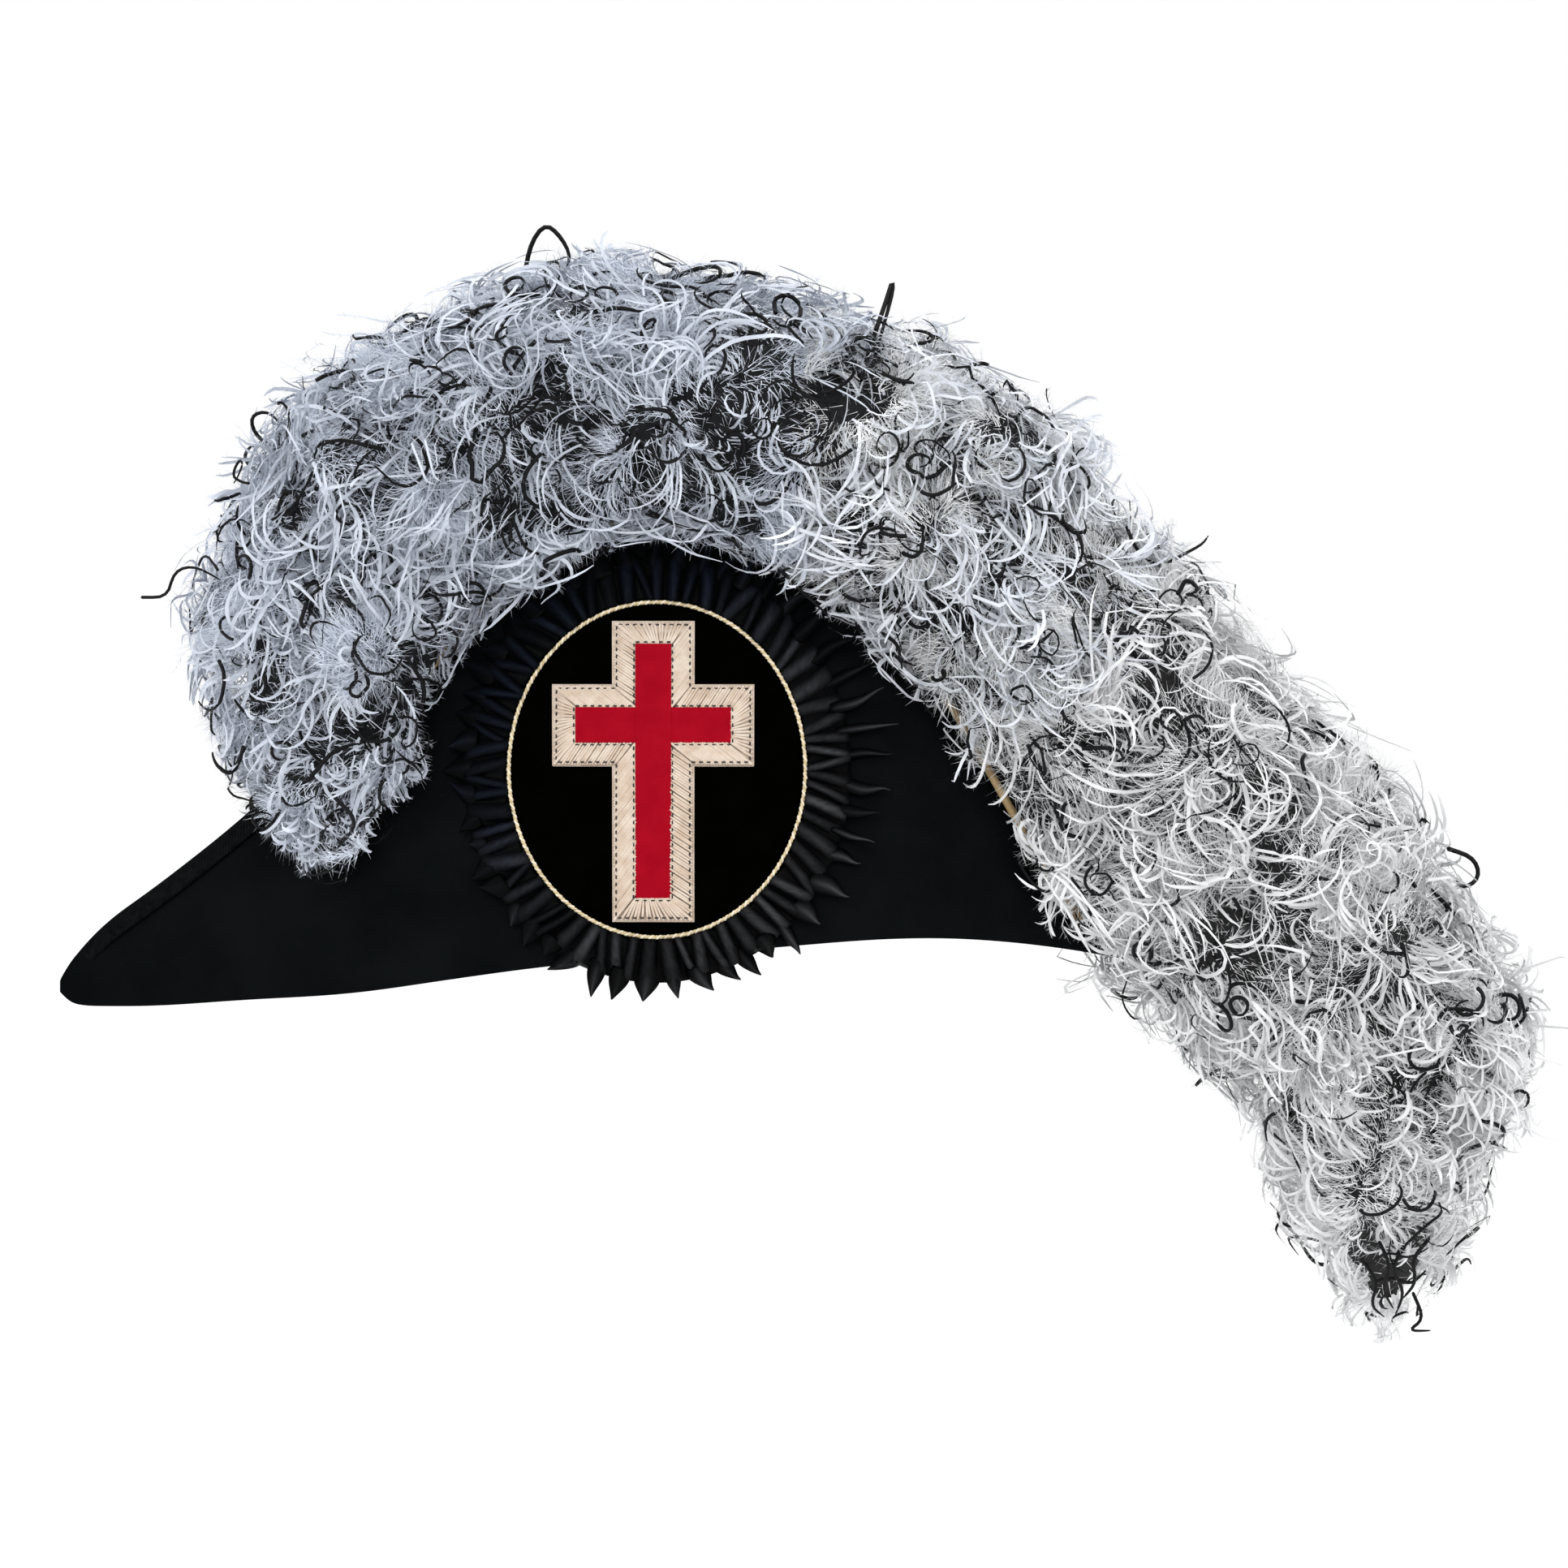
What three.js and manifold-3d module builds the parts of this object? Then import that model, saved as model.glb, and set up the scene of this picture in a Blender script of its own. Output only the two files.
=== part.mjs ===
// A plumed chapeau: a fore-and-aft dress hat of two stiff felt fans round a felt crown, with a bound
// crest, a silk rosette that frames a velvet medallion with a cross, and an ostrich plume over the crest.
// Millimetres, +Z up. The front peak points to -X and the wearer's left side to -Y.
// The origin is the middle of the head opening, level with the rim.
import * as THREE from "three";
import { mergeVertices } from "three/addons/utils/BufferGeometryUtils.js";
import Module from "manifold-3d";

const wasm = await Module();
wasm.setup();

// Sizes of the felt body
const HALF_LENGTH = 205;
const RIM_HALF_WIDTH = 86;
const CREST_HALF_WIDTH = 14;
const TIP_HALF_WIDTH = 2.6;
const PEAK_TAPER = 1.3;
const SIDE_LEAN = 1.7;
const FELT = 2.4;
const PIECE_GAP = 0.3;
const MERGE_DISTANCE = 1e-3;
const FAN_STATIONS = 32;
const FAN_ROWS = 7;
const FAN_ROW_BIAS = 1.25;

// Heights of the rim and of the crest along the hat
const PROFILE = [
  { x: -205, rim: -13, crest: -9 },
  { x: -201, rim: -17, crest: -2 },
  { x: -192, rim: -17.8, crest: 7 },
  { x: -170, rim: -17.5, crest: 23 },
  { x: -140, rim: -15.2, crest: 47 },
  { x: -105, rim: -13, crest: 80 },
  { x: -70, rim: -7.8, crest: 118 },
  { x: -35, rim: -3, crest: 148 },
  { x: 0, rim: 0, crest: 160 },
  { x: 40, rim: 3, crest: 152 },
  { x: 75, rim: 5.8, crest: 128 },
  { x: 105, rim: 5.8, crest: 97 },
  { x: 140, rim: 2, crest: 60 },
  { x: 175, rim: -5, crest: 26 },
  { x: 197, rim: -11, crest: 6 },
  { x: 205, rim: -10, crest: -4 },
];

// Sizes of the crown and the floor of the peaks
const HEAD_HALF_LENGTH = 100;
const HEAD_HALF_WIDTH = 77;
const CROWN_DEPTH = 95;
const FLOOR_RECESS = 5;
const FLOOR_HALF_LENGTH = 188;
const FLOOR_GAP = 1;
const CROWN_STEPS = 36;
const CROWN_ROWS = 5;

// Sizes of the crest binding
const BINDING_LEG = 5;
const BINDING_GAP = 0.5;
const BINDING_THICKNESS = 0.9;
const BINDING_LEG_SPREAD = 1.3;
const BINDING_STEPS = 44;
const BINDING_HALF_LENGTH = 202;

// Sizes of the rosette, measured out from the middle of the cord's oval
const OVAL = { x: -0.3, z: 62.8, halfWidth: 52, halfHeight: 58.6 };
const SEAT_LIFT = 0.7;
const CORD_RADIUS = 0.9;
const CORD_STEPS = 48;
const CORD_SIDES = 5;
const MEDALLION_STEPS = 40;
const MEDALLION_SHARES = [0, 0.4, 0.75, 1];
const MEDALLION_EDGE = -1.3;
const MEDALLION_LIFT = 3.2;
const RUCHING_RIBS = 52;
const POINT_COUNT = 36;
const POINT_STEPS = 4;
const POINT_SIDE_REACH = 7;
const POINT_TOP_CUT = 5;
const POINT_SCATTER = 2;
const RUCHING_SECTION = [
  { out: 1.3, ridge: 2.4, groove: 1.6 },
  { out: 4.5, ridge: 4.6, groove: 2.2 },
  { out: 10, ridge: 4.6, groove: 2.2 },
  { out: 14, ridge: 2.6, groove: 1.6 },
];
const POINT_SECTION = [
  { place: "valley", out: 17, low: 0.8, high: 1.7 },
  { place: "shoulder", out: 20, low: 1.5, high: 3.2 },
  { place: "tip", out: 24, low: 2.4, high: 3.4 },
  { place: "shoulder", out: 19, low: 1.1, high: 2.2 },
];
const POINT_ROOT = { out: 14.5, low: 0.8, high: 2.6 };

// Sizes of the cross, from the middle of its crossing
const CROSS = { x: -1.5, z: 77.5, top: 27.5, bottom: 58, halfSpan: 26, halfBar: 6.2 };
const BORDER_WIDTH = 7.4;
const BORDER_LIFTS = { low: 3.7, edge: 4.7, crown: 5.9 };
const INLAY_LIFTS = {
  upright: { low: 3.7, high: 4.9 },
  crosspiece: { low: 3.8, high: 4.8 },
};
const CROSS_STEP = 8;

// Sizes of the quills that the plume grows from
const QUILL_RADIUS = 1.6;
const QUILL_SIDES = 6;
const QUILL_STEPS = 26;
const QUILL_LIFT = 0.6;
const QUILL_ROUTE = [
  { x: -104, z: 46 },
  { x: -86, z: 82 },
  { x: -72, z: 103 },
  { x: -50, z: 126 },
  { x: -25, z: 142.5 },
  { x: 0, z: 148.5 },
  { x: 30, z: 144.5 },
  { x: 60, z: 128 },
  { x: 82, z: 107 },
  { x: 100, z: 82 },
  { x: 120, z: 47 },
  { x: 132, z: 28 },
  { x: 143, z: 11 },
];

// Sizes of the plume: its middle line, half its depth in the plane of the crest and half its width
const PLUME = [
  { x: -113, z: 31, reach: 11, width: 30 },
  { x: -115, z: 50, reach: 25, width: 34 },
  { x: -117, z: 82, reach: 40, width: 40 },
  { x: -114, z: 112, reach: 48, width: 44 },
  { x: -94, z: 148, reach: 52, width: 46 },
  { x: -58, z: 178, reach: 50, width: 48 },
  { x: -11, z: 194, reach: 47, width: 50 },
  { x: 42, z: 182, reach: 46, width: 50 },
  { x: 95, z: 157, reach: 46, width: 50 },
  { x: 136, z: 113, reach: 47, width: 52 },
  { x: 174, z: 63, reach: 55, width: 56 },
  { x: 212, z: 18, reach: 58, width: 58 },
  { x: 240, z: -21, reach: 51, width: 54 },
  { x: 247, z: -58, reach: 40, width: 46 },
  { x: 252, z: -92, reach: 34, width: 36 },
  { x: 250, z: -113, reach: 18, width: 20 },
  { x: 251, z: -126, reach: 6, width: 8 },
];
const PLUME_STEPS = 22;
const PLUME_LEVELS = [-1, -0.6, 0, 0.6, 1];
const PLUME_ROUNDNESS = 2.4;
const PLUME_EDGE = 0.22;
const PLUME_DRAPE = 15;
const PLUME_DRAPE_FADE = 40;
const HAT_CLEARANCE = 3.7;
const HAT_ROOM_STATIONS = 30;
const HAT_ROOM_ROWS = 5;
const ROSETTE_CLEARANCE = 32;
const ROSETTE_TOP_CUT = 9;
const ROSETTE_CLEARANCE_STEPS = 24;
const CLEARANCE_DEPTH = 150;

// Sizes of the plume's locks, and the form of one along its length
const LOCK_STATIONS = 8;
const LOCK_ANGLES = [-12, 40, 90, 140, 192];
const LOCK_STAGGER = 30;
const SEEDS_PER_LOCK = 5;
const LOCK_LENGTH = 44;
const LOCK_HALF_WIDTH = 20;
const LOCK_HALF_THICKNESS = 9;
const LOCK_ROOT_DEPTH = 6;
const LOCK_RISE = 5;
const LOCK_FORM = [
  { along: 0, wide: 0.7, thick: 0.9 },
  { along: 0.4, wide: 1, thick: 1 },
  { along: 0.78, wide: 0.72, thick: 0.7 },
  { along: 1, wide: 0.22, thick: 0.25 },
];
const LOCK_FIRST_STEP = 3.4;
const LOCK_LAST_STEP = PLUME.length - 4.8;
const LOCK_SMALLEST = 0.5;
const LOCK_FULL_REACH = 45;
const LOCK_SIZES = { least: 0.8, most: 1.2 };
const LOCK_FALL = { along: 0.7, down: 0.5, sideways: 0.4 };
const PARTING = { step: 5, spread: 3 };

const clamp = THREE.MathUtils.clamp;
const lerp = THREE.MathUtils.lerp;

// A number from 0 to 1 that looks random and is the same for the same seed.
function scatter(seed) {
  const wave = Math.sin(seed * 127.1 + 11.7) * 43758.5453;
  return wave - Math.floor(wave);
}

// The smooth value of a table's column at a place along its key column.
function column(table, key, name, place) {
  const last = table.length - 1;
  const above = table.findIndex((row) => row[key] > place);
  const index = above < 0 ? last - 1 : clamp(above - 1, 0, last - 1);
  const slope = (row) => {
    const before = table[Math.max(row - 1, 0)];
    const after = table[Math.min(row + 1, last)];
    return (after[name] - before[name]) / (after[key] - before[key]);
  };
  const span = table[index + 1][key] - table[index][key];
  const t = clamp((place - table[index][key]) / span, 0, 1);
  const ease = t * t * (3 - 2 * t);
  const bend = t * (1 - t) * ((1 - t) * slope(index) - t * slope(index + 1)) * span;
  return lerp(table[index][name], table[index + 1][name], ease) + bend;
}

const rimAt = (x) => column(PROFILE, "x", "rim", x);
const crestAt = (x) => column(PROFILE, "x", "crest", x);

// Half the width of the hat, outside the felt, at a place seen from the side.
function halfWidth(x, z) {
  const fullness = Math.max(0, 1 - (x / HALF_LENGTH) ** 2) ** PEAK_TAPER;
  const rimHalf = lerp(TIP_HALF_WIDTH, RIM_HALF_WIDTH, fullness);
  const crestHalf = lerp(TIP_HALF_WIDTH, CREST_HALF_WIDTH, fullness);
  const rise = clamp((z - rimAt(x)) / (crestAt(x) - rimAt(x)), 0, 1);
  return lerp(rimHalf, crestHalf, rise ** SIDE_LEAN);
}

// The outward direction of a fan on the side where y is positive.
function fanNormal(x, z) {
  const step = 0.5;
  const slopeX = (halfWidth(x + step, z) - halfWidth(x - step, z)) / (2 * step);
  const slopeZ = (halfWidth(x, z + step) - halfWidth(x, z - step)) / (2 * step);
  return new THREE.Vector3(-slopeX, 1, -slopeZ).normalize();
}

// A point that stands off a fan's outer face by a lift; side is -1 on the left and 1 on the right.
function onFan(side, x, z, lift) {
  const normal = fanNormal(x, z);
  return new THREE.Vector3(
    x + normal.x * lift,
    side * (halfWidth(x, z) + normal.y * lift),
    z + normal.z * lift,
  );
}

// Half the width inside the felt.
function innerHalfWidth(x, z) {
  return Math.max(PIECE_GAP / 2, halfWidth(x, z) - FELT / fanNormal(x, z).y);
}

// A closed geometry from points and triangles, with shared points merged and its faces turned outwards.
function closedGeometry(points, triangles) {
  const loose = new THREE.BufferGeometry().setFromPoints(points);
  loose.setIndex(triangles);
  const merged = mergeVertices(loose, MERGE_DISTANCE);
  const place = merged.getAttribute("position");
  const corner = [0, 1, 2].map(() => new THREE.Vector3());
  const kept = [];
  let volume = 0;
  for (let i = 0; i < merged.index.count; i += 3) {
    const ids = [0, 1, 2].map((k) => merged.index.getX(i + k));
    if (new Set(ids).size < 3) continue;
    ids.forEach((id, k) => corner[k].fromBufferAttribute(place, id));
    volume += corner[0].dot(corner[1].clone().cross(corner[2]));
    kept.push(ids);
  }
  const turned = volume < 0 ? kept.map(([a, b, c]) => [a, c, b]) : kept;
  merged.setIndex(turned.flat());
  return merged;
}

// A solid swept through rows of closed sections. A ring joins its last row to its first; any other
// sweep is capped, and a cap pairs each point of a section with the point as far from its other end.
function sweep(rows, columns, at, ring = false) {
  const points = [];
  for (let i = 0; i < rows; i++) {
    for (let j = 0; j < columns; j++) points.push(at(i, j));
  }
  const triangles = [];
  const quad = (a, b, c, d) => triangles.push(a, b, c, a, c, d);
  for (let i = 0; i < (ring ? rows : rows - 1); i++) {
    const next = ((i + 1) % rows) * columns;
    for (let j = 0; j < columns; j++) {
      const k = (j + 1) % columns;
      quad(i * columns + j, i * columns + k, next + k, next + j);
    }
  }
  const end = (rows - 1) * columns;
  for (let j = 0; !ring && j < columns / 2 - 1; j++) {
    const k = columns - 1 - j;
    quad(j + 1, j, k, k - 1);
    quad(end + j, end + j + 1, end + k - 1, end + k);
  }
  return closedGeometry(points, triangles);
}

// A solid that can be joined and cut, from a closed geometry.
function toSolid(geometry) {
  const plain = geometry.clone();
  plain.deleteAttribute("normal");
  plain.deleteAttribute("uv");
  const merged = mergeVertices(plain, MERGE_DISTANCE);
  return new wasm.Manifold(
    new wasm.Mesh({
      numProp: 3,
      vertProperties: new Float32Array(merged.getAttribute("position").array),
      triVerts: new Uint32Array(merged.index.array),
    }),
  );
}

// The geometry of a solid that was joined or cut.
function toGeometry(solid) {
  const mesh = solid.getMesh();
  const geometry = new THREE.BufferGeometry();
  geometry.setAttribute("position", new THREE.BufferAttribute(mesh.vertProperties, 3));
  geometry.setIndex(new THREE.BufferAttribute(mesh.triVerts, 1));
  return geometry;
}

// Stations along the hat, closer together towards the peaks.
function station(index, count, halfLength) {
  return -halfLength * Math.cos((Math.PI * index) / count);
}

// One felt side panel: its section runs up the outer face and down the inner face.
function fan(side) {
  const columns = 2 * (FAN_ROWS + 1);
  return sweep(FAN_STATIONS + 1, columns, (i, j) => {
    const x = station(i, FAN_STATIONS, HALF_LENGTH);
    const outer = j <= FAN_ROWS;
    const rise = ((outer ? j : columns - 1 - j) / FAN_ROWS) ** FAN_ROW_BIAS;
    const z = lerp(rimAt(x), crestAt(x), rise);
    return new THREE.Vector3(x, side * (outer ? halfWidth(x, z) : innerHalfWidth(x, z)), z);
  });
}

// Height of the under side of the crown's edge and of the floor.
const floorAt = (x) => rimAt(x) + FLOOR_RECESS;

// The angle of a step round the head opening.
const crownAngle = (i) => (2 * Math.PI * (i + 0.5)) / CROWN_STEPS;

// The cap that the head goes into, open below.
function crown() {
  const dome = (angle, row, growth) => {
    const turn = (row / CROWN_ROWS) * (Math.PI / 2);
    const x = (HEAD_HALF_LENGTH + growth) * Math.cos(angle) * Math.cos(turn);
    const y = (HEAD_HALF_WIDTH + growth) * Math.sin(angle) * Math.cos(turn);
    const foot = floorAt(row === 0 ? x : 0);
    return new THREE.Vector3(x, y, foot + (CROWN_DEPTH + growth) * Math.sin(turn));
  };
  const rows = CROWN_ROWS + 1;
  const section = (i, j) => {
    const inside = j < rows;
    return dome(crownAngle(i), inside ? CROWN_ROWS - j : j - rows, inside ? 0 : FELT);
  };
  return sweep(CROWN_STEPS, 2 * rows, section, true);
}

// The floor that closes the two peaks just above the rim, from the crown out to the fans.
function brimFloor() {
  const section = (i, j) => {
    const angle = crownAngle(i);
    const atCrown = j === 0 || j === 3;
    const growth = j < 2 ? 0 : FELT;
    if (atCrown) {
      const x = (HEAD_HALF_LENGTH + FELT + PIECE_GAP) * Math.cos(angle);
      const y = (HEAD_HALF_WIDTH + FELT + PIECE_GAP) * Math.sin(angle);
      return new THREE.Vector3(x, y, floorAt(x) + growth);
    }
    const x = FLOOR_HALF_LENGTH * Math.cos(angle);
    const z = floorAt(x) + growth;
    const half = Math.max(0, innerHalfWidth(x, z) - FLOOR_GAP);
    return new THREE.Vector3(x, Math.sign(Math.sin(angle)) * half, z);
  };
  return sweep(CROWN_STEPS, 4, section, true);
}

// A woven strip folded over the crest, from peak to peak.
function crestBinding() {
  const crestPoint = (i) => {
    const x = station(i, BINDING_STEPS, BINDING_HALF_LENGTH);
    return new THREE.Vector2(x, crestAt(x));
  };
  return sweep(BINDING_STEPS + 1, 8, (i, j) => {
    const along = crestPoint(Math.min(i + 1, BINDING_STEPS)).sub(crestPoint(Math.max(i - 1, 0)));
    const up = new THREE.Vector2(-along.y, along.x).normalize();
    const outside = j < 4;
    const corner = outside ? j : 7 - j;
    const side = corner < 2 ? -1 : 1;
    const cover = BINDING_GAP + (outside ? BINDING_THICKNESS : 0);
    const atFold = corner === 1 || corner === 2;
    const spot = crestPoint(i).addScaledVector(up, atFold ? 0 : -BINDING_LEG);
    const edge = onFan(side, spot.x, spot.y, 0);
    edge.y += side * cover * (atFold ? 1 : BINDING_LEG_SPREAD);
    if (atFold) edge.add(new THREE.Vector3(up.x, 0, up.y).multiplyScalar(cover));
    return edge;
  });
}

// A point of the rosette: an angle round the oval, a distance out from the cord and a lift off the felt.
function onRosette(angle, out, lift) {
  const x = OVAL.x + (OVAL.halfWidth + out) * Math.cos(angle);
  const z = OVAL.z + (OVAL.halfHeight + out) * Math.sin(angle);
  return onFan(-1, x, z, lift);
}

// Gathered silk: a ring of ribs that stand off the felt.
function rosetteRuching() {
  const steps = 2 * RUCHING_RIBS;
  const last = RUCHING_SECTION.length;
  return sweep(
    steps,
    last + 2,
    (i, j) => {
      const angle = (2 * Math.PI * i) / steps;
      const row = RUCHING_SECTION[clamp(j - 1, 0, last - 1)];
      const top = i % 2 === 0 ? row.ridge : row.groove;
      return onRosette(angle, row.out, j === 0 || j > last ? SEAT_LIFT : top);
    },
    true,
  );
}

// Folded silk tips: longer at the sides, shorter under the plume at the top.
function rosettePoints() {
  const steps = POINT_COUNT * POINT_STEPS;
  return sweep(
    steps,
    4,
    (i, j) => {
      const angle = (2 * Math.PI * i) / steps;
      const shape = POINT_SECTION[i % POINT_STEPS];
      const number = Math.floor(i / POINT_STEPS);
      const sideways = POINT_SIDE_REACH * Math.max(0, Math.cos(angle)) ** 2;
      const upwards = POINT_TOP_CUT * Math.max(0, Math.sin(angle));
      const stretch = shape.place === "tip" ? sideways - upwards + POINT_SCATTER * scatter(number) : 0;
      const row = j === 0 || j === 3 ? POINT_ROOT : shape;
      const out = row === POINT_ROOT ? row.out : shape.out + stretch;
      return onRosette(angle, out, j < 2 ? row.low : row.high);
    },
    true,
  );
}

// The padded velvet oval.
function medallion() {
  const columns = 2 * MEDALLION_SHARES.length;
  return sweep(
    MEDALLION_STEPS,
    columns,
    (i, j) => {
      const angle = (2 * Math.PI * i) / MEDALLION_STEPS;
      const under = j < MEDALLION_SHARES.length;
      const share = MEDALLION_SHARES[under ? j : columns - 1 - j];
      const x = OVAL.x + share * (OVAL.halfWidth + MEDALLION_EDGE) * Math.cos(angle);
      const z = OVAL.z + share * (OVAL.halfHeight + MEDALLION_EDGE) * Math.sin(angle);
      return onFan(-1, x, z, under ? SEAT_LIFT : MEDALLION_LIFT);
    },
    true,
  );
}

// The cord that lies round the velvet.
function medallionCord() {
  return sweep(
    CORD_STEPS,
    CORD_SIDES,
    (i, j) => {
      const angle = (2 * Math.PI * i) / CORD_STEPS;
      const turn = (2 * Math.PI * j) / CORD_SIDES;
      const lift = SEAT_LIFT + CORD_RADIUS * 2 + CORD_RADIUS * Math.sin(turn);
      return onRosette(angle, CORD_RADIUS * Math.cos(turn), lift);
    },
    true,
  );
}

// The twelve corners of the cross, grown outwards by a margin.
function crossCorners(margin) {
  const bar = CROSS.halfBar + margin;
  const span = CROSS.halfSpan + margin;
  const top = CROSS.top + margin;
  const bottom = -CROSS.bottom - margin;
  const right = [
    [bar, top],
    [bar, bar],
    [span, bar],
    [span, -bar],
    [bar, -bar],
    [bar, bottom],
  ];
  const left = right.map(([x, z]) => [-x, z]).reverse();
  return [...right, ...left].map(([x, z]) => new THREE.Vector2(CROSS.x + x, CROSS.z + z));
}

// The same outline with points along each edge, as shares of the edge, so that grown outlines match.
function crossOutline(margin) {
  const guide = crossCorners(BORDER_WIDTH);
  const corners = crossCorners(margin);
  return corners.flatMap((corner, i) => {
    const next = (i + 1) % corners.length;
    const pieces = Math.ceil(guide[i].distanceTo(guide[next]) / CROSS_STEP);
    return Array.from({ length: pieces }, (_, k) => corner.clone().lerp(corners[next], k / pieces));
  });
}

// The raised border of the cross, highest along its middle.
function crossBorder() {
  const section = [
    { margin: 0, lift: BORDER_LIFTS.low },
    { margin: 0, lift: BORDER_LIFTS.edge },
    { margin: BORDER_WIDTH / 2, lift: BORDER_LIFTS.crown },
    { margin: BORDER_WIDTH, lift: BORDER_LIFTS.edge },
    { margin: BORDER_WIDTH, lift: BORDER_LIFTS.low },
  ];
  const outlines = section.map((row) => crossOutline(row.margin));
  return sweep(
    outlines[0].length,
    section.length,
    (i, j) => onFan(-1, outlines[j][i].x, outlines[j][i].y, section[j].lift),
    true,
  );
}

// One bar of red cloth, bent to the side of the hat, between two ends of its middle line.
function inlayBar(start, end, lifts) {
  const half = CROSS.halfBar - PIECE_GAP;
  const rows = Math.ceil(start.distanceTo(end) / CROSS_STEP) + 1;
  const along = end.clone().sub(start).normalize();
  const across = new THREE.Vector2(-along.y, along.x).multiplyScalar(half);
  return sweep(rows, 4, (i, j) => {
    const spot = start.clone().lerp(end, i / (rows - 1)).addScaledVector(across, j % 3 === 0 ? -1 : 1);
    return onFan(-1, spot.x, spot.y, j < 2 ? lifts.low : lifts.high);
  });
}

// The red cloth inside the border: an upright and a crosspiece in one.
function crossInlay() {
  const spot = (x, z) => new THREE.Vector2(CROSS.x + x, CROSS.z + z);
  const span = CROSS.halfSpan - PIECE_GAP;
  const upright = inlayBar(
    spot(0, PIECE_GAP - CROSS.bottom),
    spot(0, CROSS.top - PIECE_GAP),
    INLAY_LIFTS.upright,
  );
  const crosspiece = inlayBar(spot(-span, 0), spot(span, 0), INLAY_LIFTS.crosspiece);
  return toGeometry(toSolid(upright).add(toSolid(crosspiece)));
}

// A quill along its route on one side.
function quill(side) {
  const stops = QUILL_ROUTE.map((stop) => onFan(side, stop.x, stop.z, QUILL_RADIUS + QUILL_LIFT));
  const path = new THREE.CatmullRomCurve3(stops);
  const outline = Array.from({ length: QUILL_SIDES }, (_, k) => {
    const turn = (2 * Math.PI * k) / QUILL_SIDES;
    return new THREE.Vector2(Math.cos(turn), Math.sin(turn)).multiplyScalar(QUILL_RADIUS);
  });
  const shape = new THREE.Shape(outline);
  const geometry = new THREE.ExtrudeGeometry(shape, { steps: QUILL_STEPS, extrudePath: path });
  const place = geometry.getAttribute("position");
  const points = Array.from({ length: place.count }, (_, i) =>
    new THREE.Vector3().fromBufferAttribute(place, i),
  );
  return closedGeometry(points, points.map((_, i) => i));
}

const PLUME_TABLE = PLUME.map((row, i) => ({ ...row, step: i }));

// The plume's middle, direction of growth, outward direction and sizes at a step along its table.
function plumeFrame(step) {
  const at = (name, place) => column(PLUME_TABLE, "step", name, place);
  const nudge = 0.05;
  const along = new THREE.Vector3(
    at("x", step + nudge) - at("x", step - nudge),
    0,
    at("z", step + nudge) - at("z", step - nudge),
  ).normalize();
  return {
    middle: new THREE.Vector3(at("x", step), 0, at("z", step)),
    along,
    outward: new THREE.Vector3(-along.z, 0, along.x),
    reach: at("reach", step),
    width: at("width", step),
  };
}

// A point on the side of the plume's core: level runs from -1 at the hat to 1 at the outer edge.
function onPlume(step, level, side) {
  const frame = plumeFrame(step);
  const depth = level > 0 ? Math.max(frame.reach - LOCK_RISE, frame.reach / 2) : frame.reach;
  const spot = frame.middle.clone().addScaledVector(frame.outward, level * depth);
  const round = Math.max(1 - Math.abs(level) ** PLUME_ROUNDNESS, 0) ** (1 / PLUME_ROUNDNESS);
  let half = frame.width * Math.max(round, PLUME_EDGE);
  const onHat = Math.abs(spot.x) < HALF_LENGTH && spot.z > rimAt(spot.x);
  if (onHat) {
    const above = Math.max(0, spot.z - crestAt(spot.x));
    const cover = (halfWidth(spot.x, spot.z) + PLUME_DRAPE) * clamp(1 - above / PLUME_DRAPE_FADE, 0, 1);
    half = Math.max(half, cover);
  }
  spot.y = side * half;
  return spot;
}

// The body of the plume under its locks.
function plumeCore() {
  const levels = PLUME_LEVELS.length;
  return sweep(PLUME_STEPS + 1, 2 * levels, (i, j) => {
    const step = (i / PLUME_STEPS) * (PLUME.length - 1);
    const left = j < levels;
    return onPlume(step, PLUME_LEVELS[left ? j : 2 * levels - 1 - j], left ? -1 : 1);
  });
}

// One curved, tapered lock that grows out of the core at an angle round its section, 90 degrees at the
// outer edge. It falls forwards before the plume's parting and backwards behind it.
function plumeLock(place, angle, seed) {
  const share = (place + scatter(seed)) / LOCK_STATIONS;
  const step = lerp(LOCK_FIRST_STEP, LOCK_LAST_STEP, share);
  const turn = THREE.MathUtils.degToRad(angle + LOCK_STAGGER * (scatter(seed + 1) - 0.5));
  const frame = plumeFrame(step);
  const root = onPlume(step, Math.sin(turn), Math.sign(Math.cos(turn)));
  const out = new THREE.Vector3(0, Math.cos(turn), 0).addScaledVector(frame.outward, Math.sin(turn));
  const fullness = clamp(frame.reach / LOCK_FULL_REACH, LOCK_SMALLEST, 1);
  const size = fullness * lerp(LOCK_SIZES.least, LOCK_SIZES.most, scatter(seed + 2));
  const way = clamp((step - PARTING.step) / PARTING.spread, -1, 1);
  const fall = frame.along.clone().multiplyScalar(LOCK_FALL.along * way);
  fall.z -= LOCK_FALL.down;
  fall.y += LOCK_FALL.sideways * (scatter(seed + 3) - 0.5);
  const rise = LOCK_RISE * size;
  const length = LOCK_LENGTH * size;
  const path = new THREE.QuadraticBezierCurve3(
    root.clone().addScaledVector(out, -LOCK_ROOT_DEPTH),
    root.clone().addScaledVector(out, rise * 2).addScaledVector(fall, length / 3),
    root.clone().addScaledVector(out, rise / 2).addScaledVector(fall, length),
  );
  return sweep(LOCK_FORM.length, 4, (i, j) => {
    const form = LOCK_FORM[i];
    const heading = path.getTangent(form.along);
    const across = heading.clone().cross(out).normalize();
    const through = heading.clone().cross(across);
    const direction = j % 2 === 0 ? across : through;
    const half = j % 2 === 0 ? LOCK_HALF_WIDTH * form.wide : LOCK_HALF_THICKNESS * form.thick;
    return path.getPoint(form.along).addScaledVector(direction, (j < 2 ? -half : half) * size);
  });
}

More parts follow.
